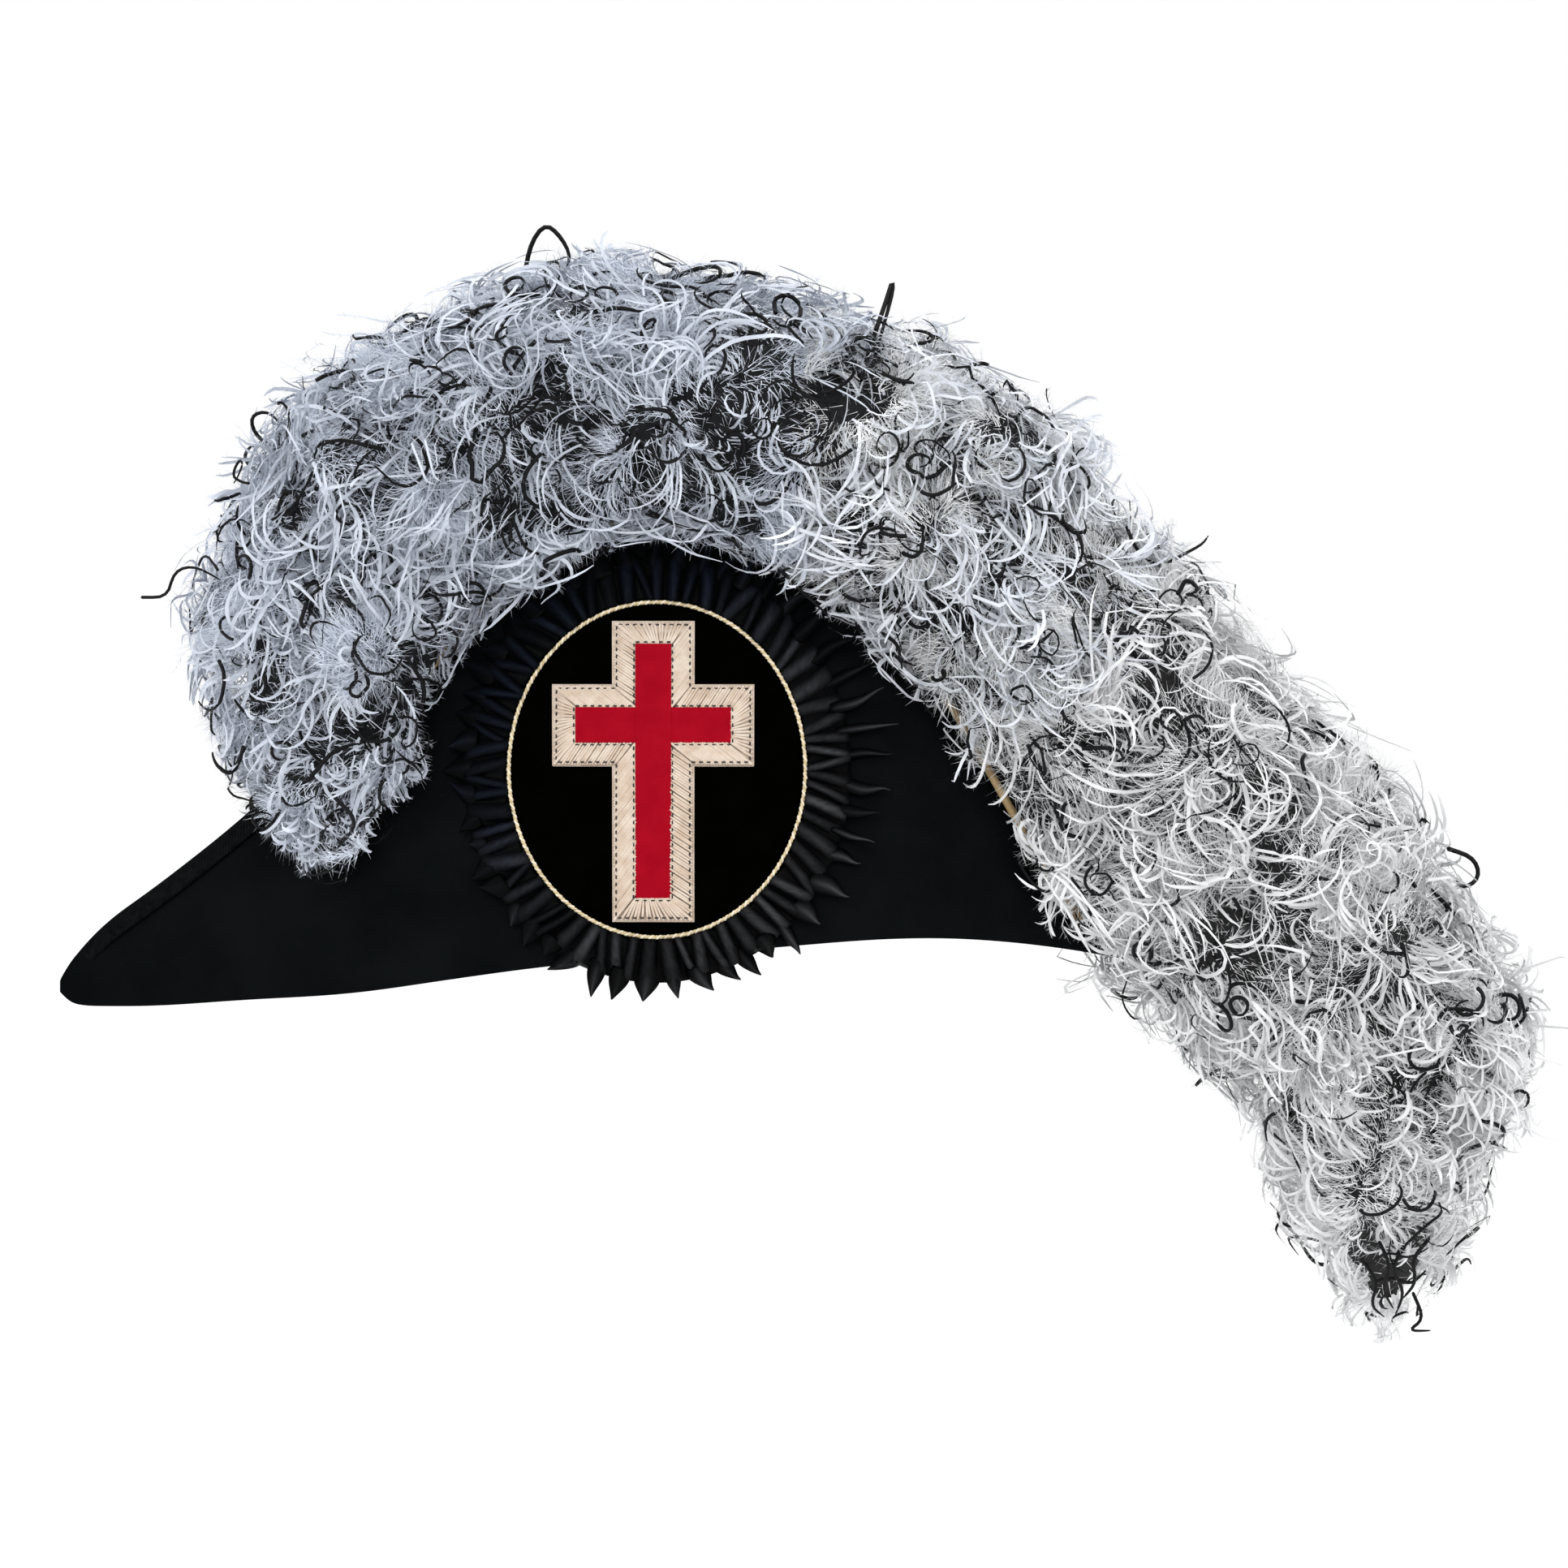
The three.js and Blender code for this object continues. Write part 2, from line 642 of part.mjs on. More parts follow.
// The room that the felt body takes up, with the binding.
function hatRoom() {
  const columns = 2 * (HAT_ROOM_ROWS + 1);
  return sweep(HAT_ROOM_STATIONS + 1, columns, (i, j) => {
    const x = station(i, HAT_ROOM_STATIONS, HALF_LENGTH);
    const left = j <= HAT_ROOM_ROWS;
    const rise = (left ? j : columns - 1 - j) / HAT_ROOM_ROWS;
    const z = lerp(rimAt(x) - HAT_CLEARANCE, crestAt(x) + HAT_CLEARANCE, rise);
    const half = halfWidth(x, z) + HAT_CLEARANCE / fanNormal(x, z).y;
    return new THREE.Vector3(x * (1 + HAT_CLEARANCE / HALF_LENGTH), left ? -half : half, z);
  });
}

// The room that the rosette takes up on the left side.
function rosetteRoom() {
  const steps = ROSETTE_CLEARANCE_STEPS;
  return sweep(2, steps, (i, j) => {
    const angle = (2 * Math.PI * j) / steps;
    const x = OVAL.x + (OVAL.halfWidth + ROSETTE_CLEARANCE) * Math.cos(angle);
    const top = ROSETTE_TOP_CUT * Math.max(0, Math.sin(angle));
    const z = OVAL.z + (OVAL.halfHeight + ROSETTE_CLEARANCE - top) * Math.sin(angle);
    return new THREE.Vector3(x, -i * CLEARANCE_DEPTH, z);
  });
}

// The plume: its core and locks in one piece, cut clear of the hat and the rosette. It sits on the quills.
function plume() {
  let solid = toSolid(plumeCore());
  for (let place = 0; place < LOCK_STATIONS; place++) {
    LOCK_ANGLES.forEach((angle, lane) => {
      const seed = (place * LOCK_ANGLES.length + lane) * SEEDS_PER_LOCK;
      solid = solid.add(toSolid(plumeLock(place, angle, seed)));
    });
  }
  for (const room of [hatRoom(), rosetteRoom()]) {
    solid = solid.subtract(toSolid(room));
  }
  const bodies = solid.decompose().sort((a, b) => b.volume() - a.volume());
  return toGeometry(bodies[0]);
}

// Finishes
const finish = (color, roughness) => new THREE.MeshStandardMaterial({ color, roughness, metalness: 0 });
const felt = finish(0x0e1113, 0.95);
const binding = finish(0x15181b, 0.8);
const silk = finish(0x111519, 0.55);
const velvet = finish(0x030402, 1);
const goldCord = finish(0xcdb88f, 0.5);
const bullion = finish(0xe4d6c4, 0.55);
const redCloth = finish(0xab0b22, 0.85);
const feather = finish(0xb4b9c1, 0.95);
const quillHorn = finish(0xa98a5a, 0.6);

const PIECES = [
  { name: "left_fan", geometry: fan(-1), material: felt },
  { name: "right_fan", geometry: fan(1), material: felt },
  { name: "crown", geometry: crown(), material: felt },
  { name: "brim_floor", geometry: brimFloor(), material: felt },
  { name: "crest_binding", geometry: crestBinding(), material: binding },
  { name: "rosette_ruching", geometry: rosetteRuching(), material: silk },
  { name: "rosette_points", geometry: rosettePoints(), material: silk },
  { name: "medallion", geometry: medallion(), material: velvet },
  { name: "medallion_cord", geometry: medallionCord(), material: goldCord },
  { name: "cross_border", geometry: crossBorder(), material: bullion },
  { name: "cross_inlay", geometry: crossInlay(), material: redCloth },
  { name: "plume", geometry: plume(), material: feather },
  { name: "left_quill", geometry: quill(-1), material: quillHorn },
  { name: "right_quill", geometry: quill(1), material: quillHorn },
];

const chapeau = new THREE.Group();
for (const { name, geometry, material } of PIECES) {
  const mesh = new THREE.Mesh(geometry, material);
  mesh.name = name;
  chapeau.add(mesh);
}

export default chapeau;
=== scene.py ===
"""Dresses the plumed chapeau: felt body, silk rosette, embroidered cross and ostrich plume."""

import logging
import math
from collections.abc import Iterator
from dataclasses import dataclass
from enum import Enum

import bmesh
import bpy
import numpy as np
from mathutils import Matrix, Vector
from mathutils.bvhtree import BVHTree


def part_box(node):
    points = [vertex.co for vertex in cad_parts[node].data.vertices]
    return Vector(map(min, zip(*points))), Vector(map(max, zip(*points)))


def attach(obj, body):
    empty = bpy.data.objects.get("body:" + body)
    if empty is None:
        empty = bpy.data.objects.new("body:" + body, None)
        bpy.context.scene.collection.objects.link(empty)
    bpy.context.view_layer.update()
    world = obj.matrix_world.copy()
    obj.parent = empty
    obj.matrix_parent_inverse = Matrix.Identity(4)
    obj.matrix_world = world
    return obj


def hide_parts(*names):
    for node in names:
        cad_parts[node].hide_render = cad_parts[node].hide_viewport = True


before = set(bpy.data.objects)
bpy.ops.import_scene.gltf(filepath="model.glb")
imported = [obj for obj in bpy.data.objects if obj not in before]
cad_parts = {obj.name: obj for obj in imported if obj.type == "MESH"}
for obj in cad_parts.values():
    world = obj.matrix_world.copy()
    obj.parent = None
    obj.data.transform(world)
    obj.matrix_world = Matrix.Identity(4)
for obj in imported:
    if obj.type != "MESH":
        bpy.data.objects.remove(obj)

LOG = logging.getLogger("chapeau")
MM = 0.001
TINY = 1e-6
Colour = tuple[float, float, float]
Circle = tuple[float, float, float]
Span = tuple[float, float]
Pairs = tuple[Span, ...]
Socket = bpy.types.NodeSocket
Tint = Socket | tuple[float, float, float, float]


class Slot(Enum):
    """The material slots."""

    FELT = "felt"
    BINDING = "binding"
    SILK = "silk"
    VELVET = "velvet"
    CORD = "gold_cord"
    BULLION = "bullion"
    RED = "red_cloth"
    FEATHER = "feather"
    QUILL = "quill"


class Grain(Enum):
    """The fine relief that a finish carries."""

    NAP = "nap"
    WEAVE = "weave"
    RIB = "rib"
    FIBRE = "fibre"


class Nodes:
    """A material's node tree, with short ways to add what the finishes need."""

    def __init__(self, tree: bpy.types.NodeTree) -> None:
        """Keeps the tree and adds its object coordinates."""
        self.tree = tree
        self.place = tree.nodes.new("ShaderNodeTexCoord").outputs["Object"]

    def feed(self, node: bpy.types.Node, inputs: dict[str | int, object]) -> None:
        """Links or sets a node's inputs.

        Args:
            node: the node.
            inputs: for each input, the socket that feeds it or its constant value.
        """
        for key, value in inputs.items():
            if isinstance(value, bpy.types.NodeSocket):
                self.tree.links.new(value, node.inputs[key])
            else:
                node.inputs[key].default_value = value

    def add(self, kind: str, inputs: dict[str | int, object]) -> bpy.types.Node:
        """Adds a shader node.

        Args:
            kind: the node's type, without its common first part.
            inputs: for each input, the socket that feeds it or its constant value.

        Returns:
            The node.
        """
        node = self.tree.nodes.new("ShaderNode" + kind)
        self.feed(node, inputs)
        return node

    def mix(self, share: Socket, low: Tint, high: Tint) -> Socket:
        """Adds a blend of two colours.

        Args:
            share: the socket with the second colour's share.
            low: the first colour.
            high: the second colour.

        Returns:
            The blend's socket.
        """
        node = self.tree.nodes.new("ShaderNodeMix")
        node.data_type = "RGBA"
        self.feed(node, {0: share, 6: low, 7: high})
        return node.outputs[2]

    def maths(self, operation: str, first: Socket, second: Socket) -> Socket:
        """Adds a calculation with two values.

        Args:
            operation: Blender's name for it.
            first: the first value.
            second: the second value.

        Returns:
            The result's socket.
        """
        node = self.tree.nodes.new("ShaderNodeMath")
        node.operation = operation
        self.feed(node, {0: first, 1: second})
        return node.outputs["Value"]

    def span(self, value: Socket, low: float, high: float) -> Socket:
        """Maps a value from low and high to 0 and 1 and returns the socket."""
        node = self.add("MapRange", {"Value": value, "From Min": low, "From Max": high})
        return node.outputs["Result"]

    def axis(self, letter: str) -> Socket:
        """Returns one object coordinate."""
        return self.add("SeparateXYZ", {"Vector": self.place}).outputs[letter]

    def noise(self, scale: float, detail: float) -> Socket:
        """Adds a noise at that scale and returns its height socket."""
        node = self.add("TexNoise", {"Vector": self.place, "Scale": scale, "Detail": detail})
        return node.outputs["Fac"]

    def threads(self, letter: str, scale: float) -> Socket:
        """Adds a run of even threads.

        Args:
            letter: the axis that they follow one another along.
            scale: how fine they are.

        Returns:
            The height's socket.
        """
        node = self.add("TexWave", {"Vector": self.place, "Scale": scale, "Distortion": 0.6})
        node.wave_type = "BANDS"
        node.bands_direction = letter
        return node.outputs["Fac"]


@dataclass(frozen=True)
class Finish:
    """A procedural finish: two mottled tones under a fine relief."""

    name: str
    tone: Colour
    second: Colour
    grain: Grain
    roughness: float
    mottle: float = 60.0
    fineness: float = 1400.0
    depth: float = 0.0002
    strength: float = 0.4
    sheen: float = 0.0
    sheen_roughness: float = 0.45
    specular: float = 0.3
    # Optional third tone mixed in behind; only the painted shade core uses it, paler in the tail.
    shade_rear_tone: Colour | None = None
    shade_rear_span: Span = (0.08, 0.18)
    ramp_places: Span = (0.34, 0.66)
    thread_scale: float = 0.16

    def material(self) -> bpy.types.Material:
        """Builds the finish's material on first use.

        Returns:
            The material.
        """
        ready = bpy.data.materials.get(self.name)
        if ready is not None:
            return ready
        made = bpy.data.materials.new(self.name)
        made.use_nodes = True
        nodes = Nodes(made.node_tree)
        relief = {"Distance": self.depth, "Strength": self.strength, "Height": self.relief(nodes)}
        nodes.feed(made.node_tree.nodes["Principled BSDF"], {
            "Roughness": self.roughness,
            "Specular IOR Level": self.specular,
            "Sheen Weight": self.sheen,
            "Sheen Roughness": self.sheen_roughness,
            "Sheen Tint": (1.0, 1.0, 1.0, 1.0),
            "Base Color": self.colour(nodes),
            "Normal": nodes.add("Bump", relief).outputs["Normal"],
        })
        return made

    def colour(self, nodes: Nodes) -> Socket:
        """Mixes the two tones, and a third painted shade tone behind if there is one.

        Args:
            nodes: the material's nodes.

        Returns:
            The colour's socket.
        """
        ramp = nodes.add("ValToRGB", {"Fac": nodes.noise(self.mottle, 4.0)})
        stops = zip(ramp.color_ramp.elements, self.ramp_places, (self.tone, self.second))
        for element, place, tone in stops:
            element.position = place
            element.color = (*tone, 1.0)
        if self.shade_rear_tone is None:
            return ramp.outputs["Color"]
        share = nodes.span(nodes.axis("X"), *self.shade_rear_span)
        return nodes.mix(share, ramp.outputs["Color"], (*self.shade_rear_tone, 1.0))

    def relief(self, nodes: Nodes) -> Socket:
        """Makes the height of the fine relief.

        Args:
            nodes: the material's nodes.

        Returns:
            The height's socket.
        """
        if self.grain in (Grain.NAP, Grain.FIBRE):
            return nodes.noise(self.fineness, 3.0)
        scale = self.fineness * self.thread_scale
        across = nodes.threads("X", scale)
        if self.grain is Grain.RIB:
            return across
        return nodes.maths("MULTIPLY", across, nodes.threads("Z", scale))


@dataclass(frozen=True)
class SilkFinish(Finish):
    """Silk with painted highlights on its ridges and painted shade in its folds, navy above in front
    and greyer below behind.
    """

    # The fold attribute holds painted light: high on the lit ridges, low in the shaded folds.
    fold: str = "fold"
    painted_fold_shade: Colour = (0.0004, 0.0005, 0.0007)
    turn_span: Span = (-0.11, 0.0)

    def colour(self, nodes: Nodes) -> Socket:
        """Tints the ridges by place and blends from the painted fold shade up to painted ridge
        highlights.

        Args:
            nodes: the material's nodes.

        Returns:
            The colour's socket.
        """
        slope = nodes.maths("SUBTRACT", nodes.axis("X"), nodes.axis("Z"))
        share = nodes.span(slope, *self.turn_span)
        ridge = nodes.mix(share, (*self.tone, 1.0), (*self.second, 1.0))
        height = nodes.add("Attribute", {})
        height.attribute_name = self.fold
        # Painted shade in the folds, painted highlight on the ridges.
        return nodes.mix(height.outputs["Fac"], (*self.painted_fold_shade, 1.0), ridge)


@dataclass(frozen=True)
class FeatherFinish(Finish):
    """Fine pale feather strands."""

    grain: Grain = Grain.FIBRE
    roughness: float = 0.8
    mottle: float = 70.0
    fineness: float = 1800.0
    depth: float = 0.0001
    strength: float = 0.2
    specular: float = 0.2


FELT = Finish(
    "brushed_felt", (0.0018, 0.0024, 0.0027), (0.0034, 0.0042, 0.0046), Grain.NAP, 0.95,
    mottle=34.0, fineness=1500.0, depth=0.0004, strength=0.5, specular=0.02,
)
BINDING = Finish(
    "ribbed_binding", (0.0016, 0.002, 0.0022), (0.0045, 0.0052, 0.0056), Grain.RIB, 0.85,
    mottle=420.0, fineness=1900.0, depth=0.0006, strength=0.8, specular=0.03,
)
SILK = SilkFinish(
    "gathered_silk", (0.0046, 0.007, 0.0135), (0.042, 0.043, 0.046), Grain.FIBRE, 0.5,
    fineness=2200.0, depth=0.0003, strength=0.35, specular=0.035,
)
VELVET = Finish(
    "black_velvet", (0.0003, 0.0004, 0.0002), (0.0007, 0.0008, 0.0005), Grain.NAP, 1.0,
    mottle=90.0, fineness=2600.0, depth=0.0003, specular=0.0,
)
CREAM_CORD = Finish(
    "cream_cord", (0.62, 0.53, 0.37), (0.78, 0.7, 0.54), Grain.FIBRE, 0.5,
    mottle=500.0, fineness=2600.0, specular=0.4,
)
GOLD_CORD = Finish(
    "gold_cord_strand", (0.5, 0.39, 0.2), (0.64, 0.53, 0.32), Grain.FIBRE, 0.42,
    mottle=500.0, fineness=2600.0, specular=0.5,
)
BULLION = Finish(
    "bullion_thread", (0.5, 0.39, 0.3), (0.62, 0.53, 0.44), Grain.FIBRE, 0.5,
    mottle=210.0, fineness=2800.0, sheen=0.1, specular=0.35,
)
BULLION_BED = Finish(
    "bullion_bed", (0.4, 0.31, 0.24), (0.52, 0.43, 0.35), Grain.FIBRE, 0.8,
    mottle=200.0, fineness=2400.0,
)
STITCH = Finish(
    "dark_stitch", (0.02, 0.016, 0.015), (0.05, 0.04, 0.035), Grain.FIBRE, 0.7,
    mottle=300.0, fineness=2600.0,
)
RED_CLOTH = Finish(
    "red_cloth_weave", (0.27, 0.001, 0.0085), (0.31, 0.002, 0.011), Grain.WEAVE, 0.8,
    mottle=120.0, fineness=9000.0, depth=0.00015, strength=0.5, specular=0.03,
)
# Painted shade: a dark core under the strands, paler behind in the tail.
SHADE_CORE = Finish(
    "plume_shade_core", (0.004, 0.0045, 0.005), (0.014, 0.015, 0.017), Grain.FIBRE, 0.95,
    mottle=60.0, fineness=900.0, depth=0.002, strength=0.8, shade_rear_tone=(0.022, 0.022, 0.023),
)
# Painted light: the fuzz and flue tints change by place, bluer and darker in front, warmer and paler
# behind.
COOL_FUZZ = FeatherFinish(
    "cool_fuzz", (0.5, 0.54, 0.62), (0.8, 0.85, 0.94), roughness=0.9, specular=0.3
)
WARM_FUZZ = FeatherFinish(
    "warm_fuzz", (0.66, 0.67, 0.68), (0.93, 0.94, 0.95), roughness=0.9, specular=0.3
)
COOL_FLUE = FeatherFinish("cool_flue", (0.46, 0.495, 0.565), (0.61, 0.65, 0.72))
PALE_FLUE = FeatherFinish("pale_flue", (0.55, 0.58, 0.63), (0.76, 0.785, 0.83))
WARM_FLUE = FeatherFinish("warm_flue", (0.6, 0.61, 0.62), (0.77, 0.775, 0.78))
DARK_FLUE = Finish(
    "dark_flue", (0.0025, 0.0025, 0.003), (0.008, 0.008, 0.009), Grain.FIBRE, 0.6,
    mottle=90.0, fineness=1800.0, specular=0.12,
)
HORN = Finish(
    "tan_horn", (0.3, 0.2, 0.09), (0.46, 0.33, 0.17), Grain.FIBRE, 0.5,
    mottle=150.0, fineness=1200.0, specular=0.4,
)
PAPER = Finish(
    "pale_paper", (0.9, 0.9, 0.9), (0.93, 0.93, 0.93), Grain.NAP, 0.9, mottle=3.0, strength=0.02
)


def add_object(name: str, mesh: bpy.types.Mesh) -> bpy.types.Object:
    """Links a mesh to the scene as an object at the origin.

    Args:
        name: the object's name.
        mesh: its mesh.

    Returns:
        The object.
    """
    made = bpy.data.objects.new(name, mesh)
    bpy.context.scene.collection.objects.link(made)
    return made


def from_bmesh(name: str, bm: bmesh.types.BMesh, smooth: bool = True) -> bpy.types.Object:
    """Turns a bmesh into an object.

    Args:
        name: the object's name.
        bm: the bmesh, which is freed.
        smooth: whether faces are shaded smooth.

    Returns:
        The object.
    """
    for face in bm.faces:
        face.smooth = smooth
    mesh = bpy.data.meshes.new(name)
    bm.to_mesh(mesh)
    bm.free()
    return add_object(name, mesh)


def from_arrays(
    name: str, points: np.ndarray, faces: np.ndarray, smooth: bool = True
) -> bpy.types.Object:
    """Makes one joined mesh of many small things.

    Args:
        name: the object's name.
        points: rows of x, y, z.
        faces: rows of three or four point numbers.
        smooth: whether faces are shaded smooth.

    Returns:
        The object.
    """
    mesh = bpy.data.meshes.new(name)
    mesh.from_pydata(points.tolist(), [], faces.tolist())
    mesh.polygons.foreach_set("use_smooth", [smooth] * len(mesh.polygons))
    mesh.update()
    return add_object(name, mesh)


def settle(piece: bpy.types.Object, finish: Finish, slot: Slot, *nodes: str) -> bpy.types.Object:
    """Dresses a piece, fixes it to the hat and reports it.

    Args:
        piece: the finished object.
        finish: its finish.
        slot: the material slot for it; not used.
        nodes: the CAD nodes that it stands for.

    Returns:
        The same piece.
    """
    piece.data.materials.clear()
    piece.data.materials.append(finish.material())
    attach(piece, "root")
    if nodes:
        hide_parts(*nodes)
    LOG.info("%s: %d faces, %s", piece.name, len(piece.data.polygons), finish.name)
    return piece


def merged(node: str, weld: float = 0.00002) -> bmesh.types.BMesh:
    """Copies a CAD node's mesh with its loose triangles joined.

    Args:
        node: the CAD node's name.
        weld: the distance within which points are joined.

    Returns:
        The bmesh.
    """
    bm = bmesh.new()
    bm.from_mesh(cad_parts[node].data)
    bm.transform(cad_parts[node].matrix_world)
    bmesh.ops.remove_doubles(bm, verts=bm.verts, dist=weld)
    bmesh.ops.recalc_face_normals(bm, faces=bm.faces)
    return bm


def add_subdivision(piece: bpy.types.Object, levels: int) -> None:
    """Adds a subdivision modifier with the same levels for view and render.

    Args:
        piece: the object.
        levels: how often each face is split.
    """
    modifier = piece.modifiers.new("rounding", "SUBSURF")
    modifier.levels = levels
    modifier.render_levels = levels


def unit(rows: np.ndarray) -> np.ndarray:
    """Returns the rows scaled to length one."""
    return rows / np.maximum(np.linalg.norm(rows, axis=-1, keepdims=True), 1e-9)


def turned(rows: np.ndarray, axes: np.ndarray, angles: np.ndarray) -> np.ndarray:
    """Turns each row about its own axis.

    Args:
        rows: directions.
        axes: unit axes, one for each row.
        angles: radians, one for each row.

    Returns:
        The turned rows.
    """
    cos = np.cos(angles)[:, None]
    sin = np.sin(angles)[:, None]
    along = np.sum(rows * axes, axis=1, keepdims=True)
    return rows * cos + np.cross(axes, rows) * sin + axes * along * (1.0 - cos)


@dataclass
class Tubes:
    """Sweeps round threads along many paths into one joined mesh."""

    sides: int = 5

    def sweep(self, paths: np.ndarray, radii: np.ndarray) -> tuple[np.ndarray, np.ndarray]:
        """Builds the tubes.

        Args:
            paths: points of every path, shaped (paths, stops, 3).
            radii: radius at each stop, shaped (paths, stops).

        Returns:
            The points and the four-cornered faces.
        """
        count, stops, _ = paths.shape
        ahead = unit(np.gradient(paths, axis=1))
        helper = np.where(np.abs(ahead[..., 1:2]) < 0.8, [[[0.0, 1.0, 0.0]]], [[[1.0, 0.0, 0.0]]])
        first = unit(np.cross(ahead, helper))
        second = np.cross(ahead, first)
        turn = np.arange(self.sides) * (2.0 * math.pi / self.sides)
        ring = (
            first[:, :, None, :] * np.cos(turn)[None, None, :, None]
            + second[:, :, None, :] * np.sin(turn)[None, None, :, None]
        )
        points = paths[:, :, None, :] + ring * radii[:, :, None, None]
        number = np.arange(count * stops * self.sides).reshape(count, stops, self.sides)
        near = number[:, :-1, :]
        far = number[:, 1:, :]
        faces = np.stack([near, np.roll(near, -1, axis=2), np.roll(far, -1, axis=2), far], axis=-1)
        return points.reshape(-1, 3), faces.reshape(-1, 4)


@dataclass
class Felt:
    """The stiff felt body: two side panels, crown, floor and crest binding."""

    crease_angle: float = 0.7
    crease: float = 0.75
    panel_levels: int = 2
    binding_taper: float = 16.0 * MM
    binding_end: float = 0.45
    binding_drop: float = 3.0

    def build(self) -> bpy.types.Object:
        """Builds every felt piece.

        Returns:
            The left panel.
        """
        left = self.panel("felt_left_panel", "left_fan", self.panel_levels)
        self.panel("felt_right_panel", "right_fan", self.panel_levels)
        self.panel("felt_crown", "crown", self.panel_levels)
        self.panel("felt_floor", "brim_floor", 1)
        binding = self.soften("woven_binding", "crest_binding")
        self.taper(binding)
        add_subdivision(binding, 2)
        settle(binding, BINDING, Slot.BINDING, "crest_binding")
        return left

    def soften(self, name: str, node: str) -> bpy.types.Object:
        """Copies a CAD node as quads with its sharp edges creased.

        Args:
            name: the object's name.
            node: the CAD node's name.

        Returns:
            The object.
        """
        bm = merged(node)
        bmesh.ops.join_triangles(
            bm, faces=bm.faces, angle_face_threshold=0.6, angle_shape_threshold=1.2
        )
        layer = bm.edges.layers.float.new("crease_edge")
        for edge in bm.edges:
            if edge.is_manifold and edge.calc_face_angle() > self.crease_angle:
                edge[layer] = self.crease
        return from_bmesh(name, bm)

    def taper(self, binding: bpy.types.Object) -> None:
        """Draws the binding's ends in against the felt.

        Args:
            binding: the binding's object.
        """
        ends = [vert.co.x for vert in binding.data.vertices]
        first, last = min(ends), max(ends)
        for vert in binding.data.vertices:
            near = min(vert.co.x - first, last - vert.co.x)
            full = min(1.0, near / self.binding_taper)
            vert.co.y *= self.binding_end + (1.0 - self.binding_end) * full
            vert.co.z -= (1.0 - full) * self.binding_drop * MM

    def panel(self, name: str, node: str, levels: int) -> bpy.types.Object:
        """Makes one felt piece from its CAD node.

        Args:
            name: the object's name.
            node: the CAD node's name.
            levels: its subdivision levels.

        Returns:
            The piece.
        """
        piece = self.soften(name, node)
        add_subdivision(piece, levels)
        return settle(piece, FELT, Slot.FELT, node)


class HatSide:
    """The outer face of the left panel, for placing trim on it."""

    def __init__(self, panel: bpy.types.Object) -> None:
        """Keeps the panel's smoothed surface.

        Args:
            panel: the left panel.
        """
        graph = bpy.context.evaluated_depsgraph_get()
        graph.update()
        self.tree = BVHTree.FromObject(panel, graph)

    def depth(self, x: float, z: float) -> float:
        """Finds the outer face, or the rim where there is no felt.

        Args:
            x: the place along the hat.
            z: the height.

        Returns:
            The face's y there.
        """
        hit, _, _, _ = self.tree.ray_cast(Vector((x, -1.0, z)), Vector((0.0, 1.0, 0.0)))
        if hit is None:
            near, _, _, _ = self.tree.find_nearest(Vector((x, -0.08, z)))
            return near.y
        return hit.y

    def at(self, x: float, z: float, lift: float) -> Vector:
        """Returns the point that stands lift in front of the felt at x, z."""
        return Vector((x, self.depth(x, z) - lift, z))


@dataclass
class Oval:
    """The rosette's oval in the side view."""

    x: float
    z: float
    half_width: float
    half_height: float

    @classmethod
    def of_node(cls, node: str, inset: float) -> "Oval":
        """Reads the oval from a CAD node's box.

        Args:
            node: the CAD node's name.
            inset: how much smaller the oval is all round.

        Returns:
            The oval.
        """
        low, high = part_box(node)
        return cls(
            (low[0] + high[0]) / 2.0,
            (low[2] + high[2]) / 2.0,
            (high[0] - low[0]) / 2.0 - inset,
            (high[2] - low[2]) / 2.0 - inset,
        )

    def point(self, angle: float, out: float) -> Span:
        """Finds a point on the oval or beyond it.

        Args:
            angle: radians, from the back and up.
            out: how far beyond the oval along its normal.

        Returns:
            The point's x and z.
        """
        cos, sin = math.cos(angle), math.sin(angle)
        normal = Vector((cos * self.half_height, sin * self.half_width)).normalized()
        return (
            self.x + cos * self.half_width + normal.x * out,
            self.z + sin * self.half_height + normal.y * out,
        )


